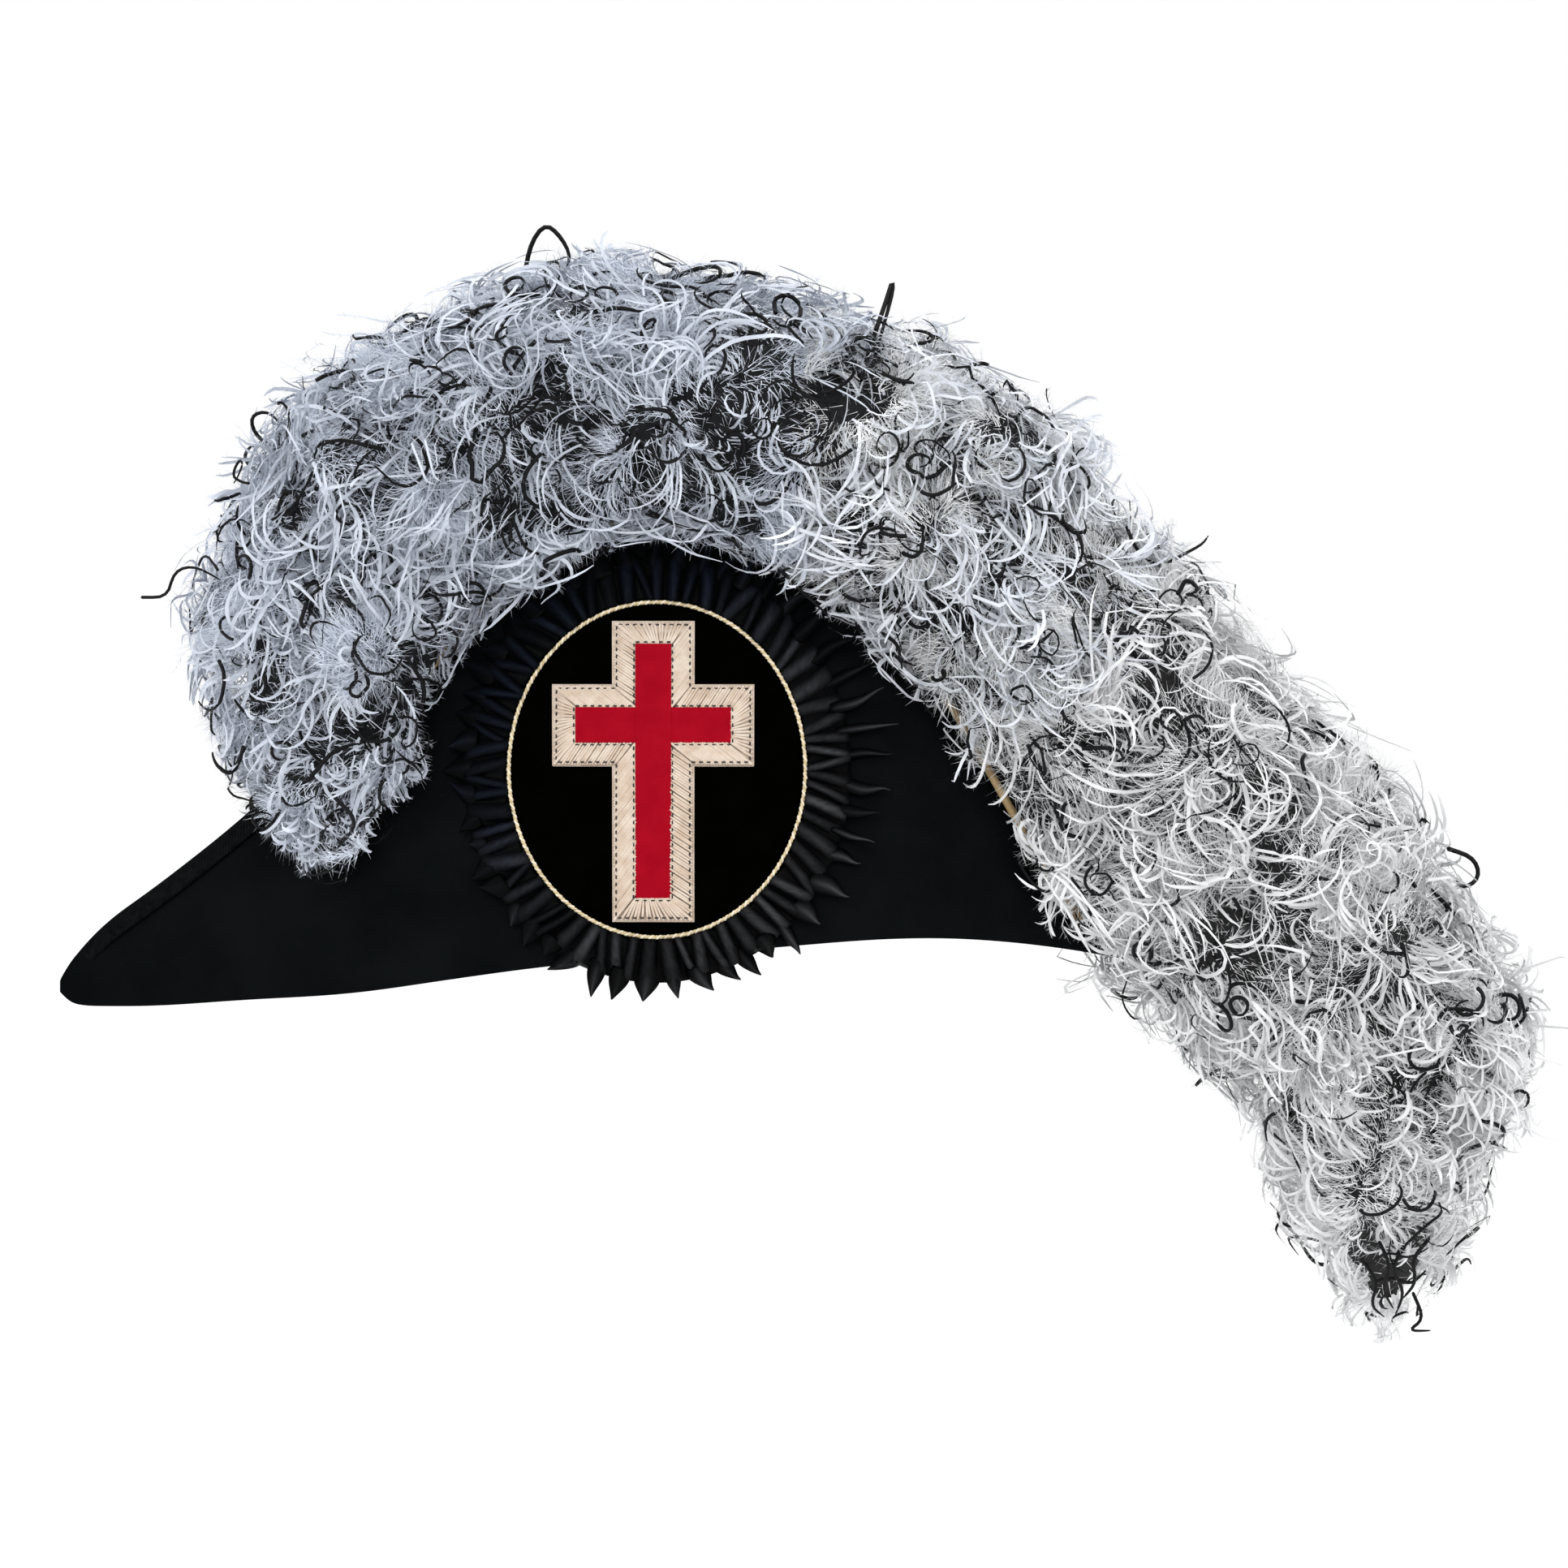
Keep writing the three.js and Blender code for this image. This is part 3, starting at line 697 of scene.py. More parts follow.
@dataclass
class Rosette:
    """Gathered silk ring with folded points round a padded velvet oval."""

    side: HatSide
    oval: Oval
    ribs: int = 68
    rib_samples: int = 8
    rings: int = 11
    inner: float = 0.9 * MM
    outer: float = 15.5 * MM
    ridge: float = 4.6 * MM
    ground: float = 1.4 * MM
    crinkle: float = 0.16 * MM
    rib_heights: Span = (0.4, 1.2)
    rib_painted_glints: Span = (0.15, 1.3)
    rib_widths: Span = (0.65, 1.35)
    points: int = 50
    point_root: float = 11.5 * MM
    tip_lengths: Span = (0.82, 1.1)
    tip_spreads: Span = (0.46, 0.7)
    tip_folds: Span = (1.6, 3.6)
    tip_curls: Span = (0.3, 4.0)
    tip_painted_glints: Span = (0.1, 1.0)
    tip_layer: float = 0.9
    silk_thickness: float = 0.25 * MM
    velvet_inset: float = 0.7 * MM
    velvet_edge: float = 0.6
    velvet_dome: float = 2.4
    cord_stops: int = 720
    cord_twists: int = 120
    cord_lift: float = 2.4 * MM
    cord_wind: float = 0.32
    seed: int = 5

    def build(self) -> None:
        """Builds ruching, points, medallion and cord."""
        ruching = self.ruching()
        points = self.tips()
        self.medallion()
        self.cord()

    def ruching(self) -> bpy.types.Object:
        """Gathers the silk ring into uneven radial ribs.

        Returns:
            The ruching.
        """
        rng = np.random.default_rng(self.seed)
        columns = self.ribs * self.rib_samples
        bm = bmesh.new()
        layer = bm.verts.layers.float.new(SILK.fold)
        bmesh.ops.create_circle(bm, segments=columns, radius=1.0)
        bm.verts.ensure_lookup_table()
        rows = [list(bm.verts)]
        edges = list(bm.edges)
        for _ in range(self.rings - 1):
            grown = bmesh.ops.extrude_edge_only(bm, edges=edges)["geom"]
            rows.append([part for part in grown if isinstance(part, bmesh.types.BMVert)])
            edges = [part for part in grown if isinstance(part, bmesh.types.BMEdge)]
            edges = [edge for edge in edges if all(vert in set(rows[-1]) for vert in edge.verts)]
        heights = rng.uniform(*self.rib_heights, self.ribs)
        slants = rng.uniform(-1.0, 1.0, self.ribs)
        painted_glints = rng.uniform(*self.rib_painted_glints, self.ribs)
        widths = np.cumsum(rng.uniform(*self.rib_widths, self.ribs))
        starts = np.concatenate([[0.0], widths]) / widths[-1]
        for row, verts in enumerate(rows):
            share = row / (self.rings - 1)
            for vert in verts:
                turn = (math.atan2(vert.co.y, vert.co.x) / (2.0 * math.pi)) % 1.0
                column = round(turn * columns) % columns
                rib, step = divmod(column, self.rib_samples)
                within = step / self.rib_samples
                angle = 2.0 * math.pi * (
                    starts[rib] + (starts[rib + 1] - starts[rib]) * within
                    + slants[rib] * (share - 0.5) / self.ribs
                )
                fold = math.sin(math.pi * within) ** 0.8
                arch = 0.35 + 0.65 * math.sin(math.pi * min(1.0, 0.12 + share * 0.92)) ** 0.6
                out = self.inner + (self.outer - self.inner) * share
                x, z = self.oval.point(angle, out)
                crinkle = rng.normal(0.0, self.crinkle) * fold
                lift = self.ground + self.ridge * heights[rib] * fold * arch + crinkle
                vert.co = self.side.at(x, z, lift)
                # Painted highlight on each rib's ridge, falling to painted shade in the folds between
                # ribs.
                vert[layer] = min(1.0, fold ** 4 * painted_glints[rib] * arch * rng.uniform(0.5, 1.0))
        bmesh.ops.recalc_face_normals(bm, faces=bm.faces)
        piece = from_bmesh("silk_ruching", bm)
        self.thicken(piece)
        return settle(piece, SILK, Slot.SILK, "rosette_ruching")

    def reach(self, angle: float) -> float:
        """Tells how far the points stand out.

        Args:
            angle: radians, from the back and up.

        Returns:
            The distance beyond the oval.
        """
        across, up = math.cos(angle), math.sin(angle)
        grown = 23.5 + 8.0 * max(0.0, across) ** 2 + 2.5 * max(0.0, up) ** 2
        grown -= 9.0 * max(0.0, -up) * abs(across)
        return grown * MM

    def point_angles(self, rng: np.random.Generator) -> list[Span]:
        """Spaces the points unevenly.

        Args:
            rng: the source of chance.

        Returns:
            Each point's angle and its share of the turn.
        """
        places = []
        angle = 0.0
        while angle < 2.0 * math.pi - 0.06:
            low = max(0.0, -math.sin(angle)) ** 4
            step = 2.0 * math.pi / self.points * (1.0 - 0.05 * low) * rng.uniform(0.75, 1.3)
            places.append((angle + step / 2.0, step))
            angle += step
        return places

    def tips(self) -> bpy.types.Object:
        """Folds a ring of pointed silk tips.

        Returns:
            The ring.
        """
        rng = np.random.default_rng(self.seed + 1)
        bm = bmesh.new()
        layer = bm.verts.layers.float.new(SILK.fold)
        for number, (angle, step) in enumerate(self.point_angles(rng)):
            length = self.reach(angle) * rng.uniform(*self.tip_lengths)
            low = max(0.0, -math.sin(angle)) ** 6
            right = max(0.0, math.cos(angle - 0.3))
            length *= 1.0 + 0.12 * low
            spread = step * rng.uniform(*self.tip_spreads) * (1.0 - 0.55 * right - 0.2 * low)
            lean = rng.uniform(-1.2, 1.2) * spread
            sway = rng.uniform(-1.0, 1.0) * spread * right
            fold = rng.uniform(*self.tip_folds) * MM
            curl = rng.uniform(*self.tip_curls) * MM * (0.5 + 0.5 * max(0.0, math.cos(angle)))
            stack = (number % 3) * self.tip_layer * MM
            painted_tip_glint = rng.uniform(*self.tip_painted_glints) * (1.0 + 0.6 * right)
            made = bmesh.ops.create_grid(bm, x_segments=6, y_segments=9, size=1.0)["verts"]
            for vert in made:
                across = vert.co.x
                along = (vert.co.y + 1.0) / 2.0
                width = (1.0 - along) ** 0.85 * (0.8 + 0.5 * math.sin(math.pi * along)) + 0.03
                swing = lean * along ** 2 + sway * math.sin(5.0 * along) * along
                out = self.point_root + (length - self.point_root) * along
                x, z = self.oval.point(angle + swing + across * width * spread, out)
                arch = 0.4 + 0.6 * math.sin(math.pi * min(1.0, along + 0.15))
                roof = (1.0 - abs(across)) * fold * arch
                lift = self.tip_layer * MM + stack + roof + curl * along ** 2
                vert.co = self.side.at(x, z, lift)
                # Painted highlight along each point's crease, stronger on the right side, with painted
                # shade at its edges.
                vert[layer] = min(1.0, painted_tip_glint * (1.0 - abs(across)) ** 3 * along ** 0.7)
        bmesh.ops.recalc_face_normals(bm, faces=bm.faces)
        piece = from_bmesh("silk_points", bm)
        self.thicken(piece)
        return settle(piece, SILK, Slot.SILK, "rosette_points")

    def thicken(self, piece: bpy.types.Object) -> None:
        """Gives a silk sheet its thickness.

        Args:
            piece: the sheet.
        """
        modifier = piece.modifiers.new("silk", "SOLIDIFY")
        modifier.thickness = self.silk_thickness
        modifier.offset = 0.0

    def medallion(self) -> None:
        """Pads the velvet oval."""
        bm = bmesh.new()
        bmesh.ops.create_circle(bm, cap_ends=True, segments=96, radius=1.0)
        for step in range(7):
            centre = [face for face in bm.faces if len(face.verts) > 4]
            bmesh.ops.inset_region(
                bm, faces=centre, thickness=0.025 if step < 3 else 0.16,
                use_boundary=True, use_even_offset=True,
            )
        for vert in bm.verts:
            radius = min(1.0, vert.co.to_2d().length)
            angle = math.atan2(vert.co.y, vert.co.x)
            x = self.oval.x + math.cos(angle) * radius * (self.oval.half_width - self.velvet_inset)
            z = self.oval.z + math.sin(angle) * radius * (self.oval.half_height - self.velvet_inset)
            dome = math.sqrt(max(0.0, 1.0 - radius ** 8))
            vert.co = self.side.at(x, z, (self.velvet_edge + self.velvet_dome * dome) * MM)
        bmesh.ops.recalc_face_normals(bm, faces=bm.faces)
        piece = from_bmesh("velvet_medallion", bm)
        settle(piece, VELVET, Slot.VELVET, "medallion")

    def cord(self) -> None:
        """Twists a cream and a gold strand round the medallion."""
        turn = np.linspace(0.0, 2.0 * math.pi, self.cord_stops)
        places = [self.oval.point(float(angle), 0.0) for angle in turn]
        middle = np.array([tuple(self.side.at(x, z, self.cord_lift)) for x, z in places])
        across, up = np.cos(turn) / self.oval.half_width, np.sin(turn) / self.oval.half_height
        outward = unit(np.stack([across, 0.0 * turn, up], axis=1))
        front = np.array([0.0, -1.0, 0.0])
        for name, phase, finish, radius, nodes in (
            ("cream_strand", 0.0, CREAM_CORD, 0.52 * MM, ("medallion_cord",)),
            ("gold_strand", math.pi, GOLD_CORD, 0.42 * MM, ()),
        ):
            wind = (turn * self.cord_twists + phase)[:, None]
            path = middle + (outward * np.cos(wind) + front * np.sin(wind)) * self.cord_wind * MM
            radii = np.full((1, self.cord_stops), radius)
            points, faces = Tubes(6).sweep(path[None, :, :], radii)
            settle(from_arrays(name, points, faces), finish, Slot.CORD, *nodes)


@dataclass
class Cross:
    """The red passion cross with its pale bullion border."""

    side: HatSide
    pitch: float = 1.05 * MM
    thread: float = 0.5 * MM
    slant: float = 2.4 * MM
    rise: float = 1.2 * MM
    lift: float = 5.2 * MM
    drop: float = 0.8 * MM
    bed_sink: float = 0.9 * MM
    edge_margins: Span = (0.9 * MM, 0.1 * MM)
    thread_stops: int = 7
    stitch_pitch: float = 2.5 * MM
    stitch_half: float = 0.55
    stitch_inset: float = 0.09
    stitch_rises: tuple[float, float, float] = (0.65, 0.95, 0.65)
    stitch_radius: float = 0.32 * MM
    seed: int = 9

    def build(self) -> None:
        """Builds bed, threads, edge stitches and inlay."""
        bm = merged("cross_border")
        bmesh.ops.translate(bm, verts=bm.verts, vec=(0.0, self.bed_sink, -self.drop))
        bed = from_bmesh("bullion_bed", bm, smooth=False)
        settle(bed, BULLION_BED, Slot.BULLION, "cross_border")
        self.inlay()
        outer, inner = self.outlines()
        self.threads(outer, inner)
        self.stitches(outer, inner)

    def inlay(self) -> None:
        """Copies the red cloth with its flat faces joined and lowers it with the border."""
        bm = merged("cross_inlay")
        bmesh.ops.dissolve_limit(bm, angle_limit=0.02, verts=bm.verts, edges=bm.edges)
        bmesh.ops.translate(bm, verts=bm.verts, vec=(0.0, 0.0, -self.drop))
        piece = from_bmesh("red_inlay", bm, smooth=False)
        settle(piece, RED_CLOTH, Slot.RED, "cross_inlay")

    def outlines(self) -> tuple[np.ndarray, np.ndarray]:
        """Works out the border's corners from the CAD boxes.

        Returns:
            The outer and the inner corners in x and z, in the same order.
        """
        low, high = (np.array(corner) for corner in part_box("cross_border"))
        red_low, red_high = (np.array(corner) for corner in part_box("cross_inlay"))
        width = red_low[0] - low[0]
        middle = (red_low[0] + red_high[0]) / 2.0
        bar = self.half_bar()
        beam = self.beam_height(bar)
        corners = []
        for grown in (width - self.edge_margins[0], -self.edge_margins[1]):
            half = bar + grown
            left, right = red_low[0] - grown, red_high[0] + grown
            top, bottom = red_high[2] + grown, red_low[2] - grown
            corners.append(np.array([0.0, -self.drop]) + np.array([
                (middle - half, top), (middle + half, top), (middle + half, beam + half),
                (right, beam + half), (right, beam - half), (middle + half, beam - half),
                (middle + half, bottom), (middle - half, bottom), (middle - half, beam - half),
                (left, beam - half), (left, beam + half), (middle - half, beam + half),
            ]))
        return corners[0], corners[1]

    @staticmethod
    def half_bar() -> float:
        """Measures the inlay's upright at its foot.

        Returns:
            Half its width.
        """
        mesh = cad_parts["cross_inlay"].data
        low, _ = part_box("cross_inlay")
        foot = [vert.co.x for vert in mesh.vertices if vert.co.z < low[2] + 0.5 * MM]
        return (max(foot) - min(foot)) / 2.0

    @staticmethod
    def beam_height(bar: float) -> float:
        """Measures the cross beam at its end.

        Args:
            bar: half the width of the upright.

        Returns:
            The height of the beam's middle.
        """
        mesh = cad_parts["cross_inlay"].data
        low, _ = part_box("cross_inlay")
        end = [vert.co.z for vert in mesh.vertices if vert.co.x < low[0] + 0.5 * MM]
        return (max(end) + min(end)) / 2.0 if end else low[2] + bar

    def threads(self, outer: np.ndarray, inner: np.ndarray) -> None:
        """Lays slanted bullion threads over the border's padding.

        Args:
            outer: the border's outer corners.
            inner: its inner corners.
        """
        rng = np.random.default_rng(self.seed)
        paths, radii = [], []
        rounds = np.linspace(0.0, 1.0, self.thread_stops)
        sides = zip(outer, np.roll(outer, -1, axis=0), inner, np.roll(inner, -1, axis=0))
        for out_a, out_b, in_a, in_b in sides:
            length = (np.linalg.norm(out_b - out_a) + np.linalg.norm(in_b - in_a)) / 2.0
            count = max(3, round(length / self.pitch))
            shift = self.slant / length / 2.0
            for step in range(count):
                place = (step + 0.5 + rng.uniform(-0.2, 0.2)) / count
                low = in_a + (in_b - in_a) * np.clip(place + shift, 0.0, 1.0)
                high = out_a + (out_b - out_a) * np.clip(place - shift, 0.0, 1.0)
                flat = low[None, :] + (high - low)[None, :] * rounds[:, None]
                chance = rng.uniform(-0.12, 0.12) * MM
                height = self.lift + self.rise * np.sin(math.pi * rounds) + chance
                paths.append([tuple(self.side.at(x, z, h)) for (x, z), h in zip(flat, height)])
                radii.append(np.full(self.thread_stops, self.thread * rng.uniform(0.85, 1.12)))
        points, faces = Tubes(6).sweep(np.array(paths), np.array(radii))
        settle(from_arrays("bullion_threads", points, faces), BULLION, Slot.BULLION)

    def stitches(self, outer: np.ndarray, inner: np.ndarray) -> None:
        """Sews dark stitches along both edges of the border.

        Args:
            outer: the border's outer corners.
            inner: its inner corners.
        """
        paths = []
        for ring, other in ((outer, inner), (inner, outer)):
            edge = ring + (other - ring) * self.stitch_inset
            for start, end in zip(edge, np.roll(edge, -1, axis=0)):
                length = np.linalg.norm(end - start)
                count = max(3, round(length / self.stitch_pitch))
                for step in range(count):
                    middle = start + (end - start) * (step + 0.5) / count
                    half = (end - start) / length * self.stitch_half * MM
                    ends = [middle - half, middle, middle + half]
                    paths.append([
                        tuple(self.side.at(x, z, self.lift + rise * MM))
                        for (x, z), rise in zip(ends, self.stitch_rises)
                    ])
        points, faces = Tubes(5).sweep(np.array(paths), np.full((len(paths), 3), self.stitch_radius))
        settle(from_arrays("edge_stitches", points, faces), STITCH, Slot.BULLION)


def radii_off(spots: np.ndarray, circle: Circle) -> np.ndarray:
    """Measures how far points lie from a circle's middle in the side view.

    Args:
        spots: points, with x, y and z last.
        circle: x, z and radius in millimetres.

    Returns:
        Each point's distance, in radii of the circle.
    """
    x, z, radius = circle
    return np.hypot(spots[..., 0] - x * MM, spots[..., 2] - z * MM) / (radius * MM)


@dataclass
class PlumeSurface:
    """The CAD plume's outer surface, which strands are rooted on and combed to."""

    felt: HatSide
    felt_gap: float = 4.6 * MM
    crowding: int = 6

    def __post_init__(self) -> None:
        """Keeps the plume's triangles, smoothed normals and the areas away from the felt."""
        bm = merged("plume")
        bmesh.ops.triangulate(bm, faces=bm.faces)
        bm.normal_update()
        bm.verts.index_update()
        self.spots = np.array([tuple(vert.co) for vert in bm.verts])
        self.normals = np.array([tuple(vert.normal) for vert in bm.verts])
        self.corners = np.array([[vert.index for vert in face.verts] for face in bm.faces])
        self.tree = BVHTree.FromBMesh(bm)
        bm.free()
        middles = self.spots[self.corners].mean(axis=1)
        edges = self.spots[self.corners[:, 1:]] - self.spots[self.corners[:, :1]]
        areas = np.linalg.norm(np.cross(edges[:, 0], edges[:, 1]), axis=1)
        self.areas = areas * np.array([self.off_felt(middle) > self.felt_gap for middle in middles])

    def off_felt(self, spot: np.ndarray | Vector) -> float:
        """Returns a spot's distance from the felt, with the right side read as the left."""
        _, _, _, distance = self.felt.tree.find_nearest(Vector((spot[0], -abs(spot[1]), spot[2])))
        return distance

    def scatter(self, rng: np.random.Generator, count: int) -> tuple[np.ndarray, np.ndarray]:
        """Picks random spots on the plume's outer surface.

        Args:
            rng: the source of chance.
            count: how many spots.

        Returns:
            The spots and their outward normals.
        """
        chosen = rng.choice(len(self.areas), count, p=self.areas / self.areas.sum())
        root = np.sqrt(rng.random(count))[:, None]
        blend = rng.random(count)[:, None]
        weights = np.concatenate([1.0 - root, root * (1.0 - blend), root * blend], axis=1)
        spots = np.einsum("nk,nkd->nd", weights, self.spots[self.corners[chosen]])
        normals = unit(np.einsum("nk,nkd->nd", weights, self.normals[self.corners[chosen]]))
        return spots, normals

    def spaced(self, rng: np.random.Generator, count: int, gap: float) -> tuple[np.ndarray, np.ndarray]:
        """Picks evenly spaced spots on the plume's outer surface.

        Args:
            rng: the source of chance.
            count: how many spots at most.
            gap: the least distance between two spots.

        Returns:
            The spots and their outward normals.
        """
        spots, normals = self.scatter(rng, count * self.crowding)
        kept: list[int] = []
        for number, spot in enumerate(spots):
            if len(kept) == count:
                break
            crowded = kept and np.min(np.sum((spots[kept] - spot) ** 2, axis=1)) < gap ** 2
            if not crowded and self.off_felt(spot) > self.felt_gap:
                kept.append(number)
        return spots[kept], normals[kept]

    def combed(self, paths: np.ndarray, most: np.ndarray) -> np.ndarray:
        """Presses strands that stand out too far back towards the plume.

        Args:
            paths: points of every strand.
            most: the furthest that each strand may stand out of the CAD plume.

        Returns:
            The pressed paths.
        """
        pressed = paths.reshape(-1, 3).copy()
        limits = np.repeat(most, paths.shape[1])
        for number, (spot, limit) in enumerate(zip(pressed, limits)):
            near, normal, _, distance = self.tree.find_nearest(spot)
            out = Vector(spot) - near
            if out.dot(normal) > 0.0 and distance > TINY:
                reach = limit * (1.0 - math.exp(-distance / limit))
                pressed[number] = near + out * (reach / distance)
        return pressed.reshape(paths.shape)

    def front(self, x: float, z: float) -> float:
        """Finds the plume's left face, or the nearest spot beside it.

        Args:
            x: the place along the hat.
            z: the height.

        Returns:
            The face's y there.
        """
        hit, _, _, _ = self.tree.ray_cast(Vector((x, -1.0, z)), Vector((0.0, 1.0, 0.0)))
        near, _, _, _ = self.tree.find_nearest(Vector((x, 0.0, z)))
        return (hit or near).y


@dataclass(frozen=True)
class Growth:
    """How strands of one kind grow, with lengths in millimetres and turns in radians."""

    lengths: Span
    turns: Span
    rise: float
    wobble: float
    stops: int = 11


@dataclass
class Strands:
    """Grows curled strands and makes ribbons with fine barbules of them."""

    rng: np.random.Generator
    sprawl: float = 0.8
    axis_chance: float = 0.35
    quickening: Span = (0.3, 1.0)
    sharpest: float = 0.1
    taper: Pairs = ((0.0, 0.25), (0.4, 0.42), (0.8, 0.34), (1.0, 0.1))
    tilt: float = 0.9
    boldness: Span = (0.8, 1.9)
    barbules: int = 17
    barbule_end: float = 0.86
    tip_gap: float = 1.001
    barbule_reach: float = 6.4
    barbule_loss: float = 4.6
    barbule_chance: Span = (0.6, 1.2)
    barbule_lean: Span = (0.65, 0.75)
    barbule_half_width: float = 0.1

    @staticmethod
    def squared(axes: np.ndarray, heads: np.ndarray) -> np.ndarray:
        """Returns the axes made square to the directions."""
        return unit(axes - heads * np.sum(axes * heads, axis=1, keepdims=True))

    def flowing(self, paths: np.ndarray) -> np.ndarray:
        """Tells which strands have no sharp corner.

        Args:
            paths: points of every strand.

        Returns:
            True for each strand that has none.
        """
        steps = unit(np.diff(paths, axis=1))
        bends = np.sum(steps[:, 1:] * steps[:, :-1], axis=2)
        return bends.min(axis=1) > self.sharpest

    def headings(
        self, normals: np.ndarray, pull: np.ndarray | float, rise: float
    ) -> tuple[np.ndarray, np.ndarray]:
        """Gives strands that lie along the plume's surface their directions.

        Args:
            normals: the surface's outward normals.
            pull: where the strands tend to lean.
            rise: how much they stand up from the surface.

        Returns:
            The first directions and the axes that the strands curl about.
        """
        chance = unit(self.rng.normal(size=normals.shape))
        flat = chance - normals * np.sum(chance * normals, axis=1, keepdims=True)
        heads = unit(normals * rise + flat * self.sprawl + pull)
        hand = np.sign(self.rng.normal(size=(len(normals), 1)))
        axes = normals * hand + self.rng.normal(size=normals.shape) * self.axis_chance
        return heads, self.squared(axes, heads)

    def grow(
        self, start: tuple[np.ndarray, np.ndarray, np.ndarray],
        lengths: np.ndarray, turns: np.ndarray, kind: Growth,
    ) -> tuple[np.ndarray, np.ndarray]:
        """Grows curling strands.

        Args:
            start: the roots, first directions and curl axes.
            lengths: the strands' lengths.
            turns: radians that each turns in all.
            kind: the kind of strand.

        Returns:
            The paths and the directions at every point.
        """
        roots, heads, axes = start
        share = np.linspace(*self.quickening, kind.stops - 1)
        share = share / share.sum()
        path, ways, way = [roots], [heads], heads
        for part in share:
            chance = self.rng.normal(size=way.shape) * kind.wobble
            way = unit(turned(way, axes, turns * part) + chance)
            path.append(path[-1] + way * (lengths / (kind.stops - 1))[:, None])
            ways.append(way)
        return np.stack(path, axis=1), np.stack(ways, axis=1)

    def sprout(self, roots: np.ndarray, normals: np.ndarray, kind: Growth) -> tuple[np.ndarray, ...]:
        """Grows one strand of a kind from each root.

        Args:
            roots: where the strands start.
            normals: the surface's outward normals there.
            kind: the kind of strand.

        Returns:
            The paths, the directions at every point and the curl axes.
        """
        heads, axes = self.headings(normals, 0.0, kind.rise)
        lengths = self.rng.uniform(*kind.lengths, len(roots)) * MM
        turns = self.rng.uniform(*kind.turns, len(roots))
        return *self.grow((roots, heads, axes), lengths, turns, kind), axes

    def ribbons(
        self, paths: np.ndarray, ways: np.ndarray, axes: np.ndarray
    ) -> tuple[np.ndarray, np.ndarray]:
        """Makes ribbons with fine barbules from strand paths.

        Args:
            paths: points of every strand.
            ways: directions at those points.
            axes: each strand's curl axis, across which its ribbon lies.

        Returns:
            The points and the triangles.
        """
        count, stops, _ = paths.shape
        taper = np.interp(np.linspace(0, 1, stops), *zip(*self.taper)) * MM
        tilt = self.rng.uniform(0.0, self.tilt, (count, 1, 1))
        bold = self.rng.uniform(*self.boldness, (count, 1, 1))
        flat = unit(np.cross(ways, axes[:, None, :]))
        edge = (flat * np.cos(tilt) + axes[:, None, :] * np.sin(tilt)) * taper[None, :, None] * bold
        ribbon = np.stack([paths - edge, paths + edge], axis=2).reshape(-1, 3)
        number = np.arange(count * stops * 2).reshape(count, stops, 2)
        a, b = number[:, :-1, 0], number[:, :-1, 1]
        c, d = number[:, 1:, 1], number[:, 1:, 0]
        strips = [np.stack(corners, -1).reshape(-1, 3) for corners in ((a, b, c), (a, c, d))]
        fine = self.barbule_corners(paths, ways, axes)
        tiny = np.arange(len(fine)).reshape(-1, 3) + len(ribbon)
        return np.concatenate([ribbon, fine]), np.concatenate([*strips, tiny])

    def barbule_corners(self, paths: np.ndarray, ways: np.ndarray, axes: np.ndarray) -> np.ndarray:
        """Branches fine barbules off strands.

        Args:
            paths: points of every strand.
            ways: directions at those points.
            axes: each strand's curl axis.

        Returns:
            The barbules' corners, three to each.
        """
        count, stops, _ = paths.shape
        place = self.rng.uniform(0.0, self.barbule_end, (count, self.barbules)) * (stops - self.tip_gap)
        base = place.astype(int)
        part = (place - base)[..., None]
        own = np.arange(count)[:, None]
        foot = paths[own, base] * (1 - part) + paths[own, base + 1] * part
        way = ways[own, base + 1]
        across = np.broadcast_to(axes[:, None, :], way.shape)
        spin = self.rng.uniform(0, 2 * math.pi, (count, self.barbules))[..., None]
        branch = across * np.cos(spin) + np.cross(way, across) * np.sin(spin)
        reach = (self.barbule_reach - self.barbule_loss * place / (stops - 1))[..., None] * MM
        reach = reach * self.rng.uniform(*self.barbule_chance, reach.shape)
        outward, onward = self.barbule_lean
        tip = foot + (branch * outward + way * onward) * reach
        half = way * self.barbule_half_width * MM
        return np.stack([foot - half, foot + half, tip], axis=2).reshape(-1, 3)


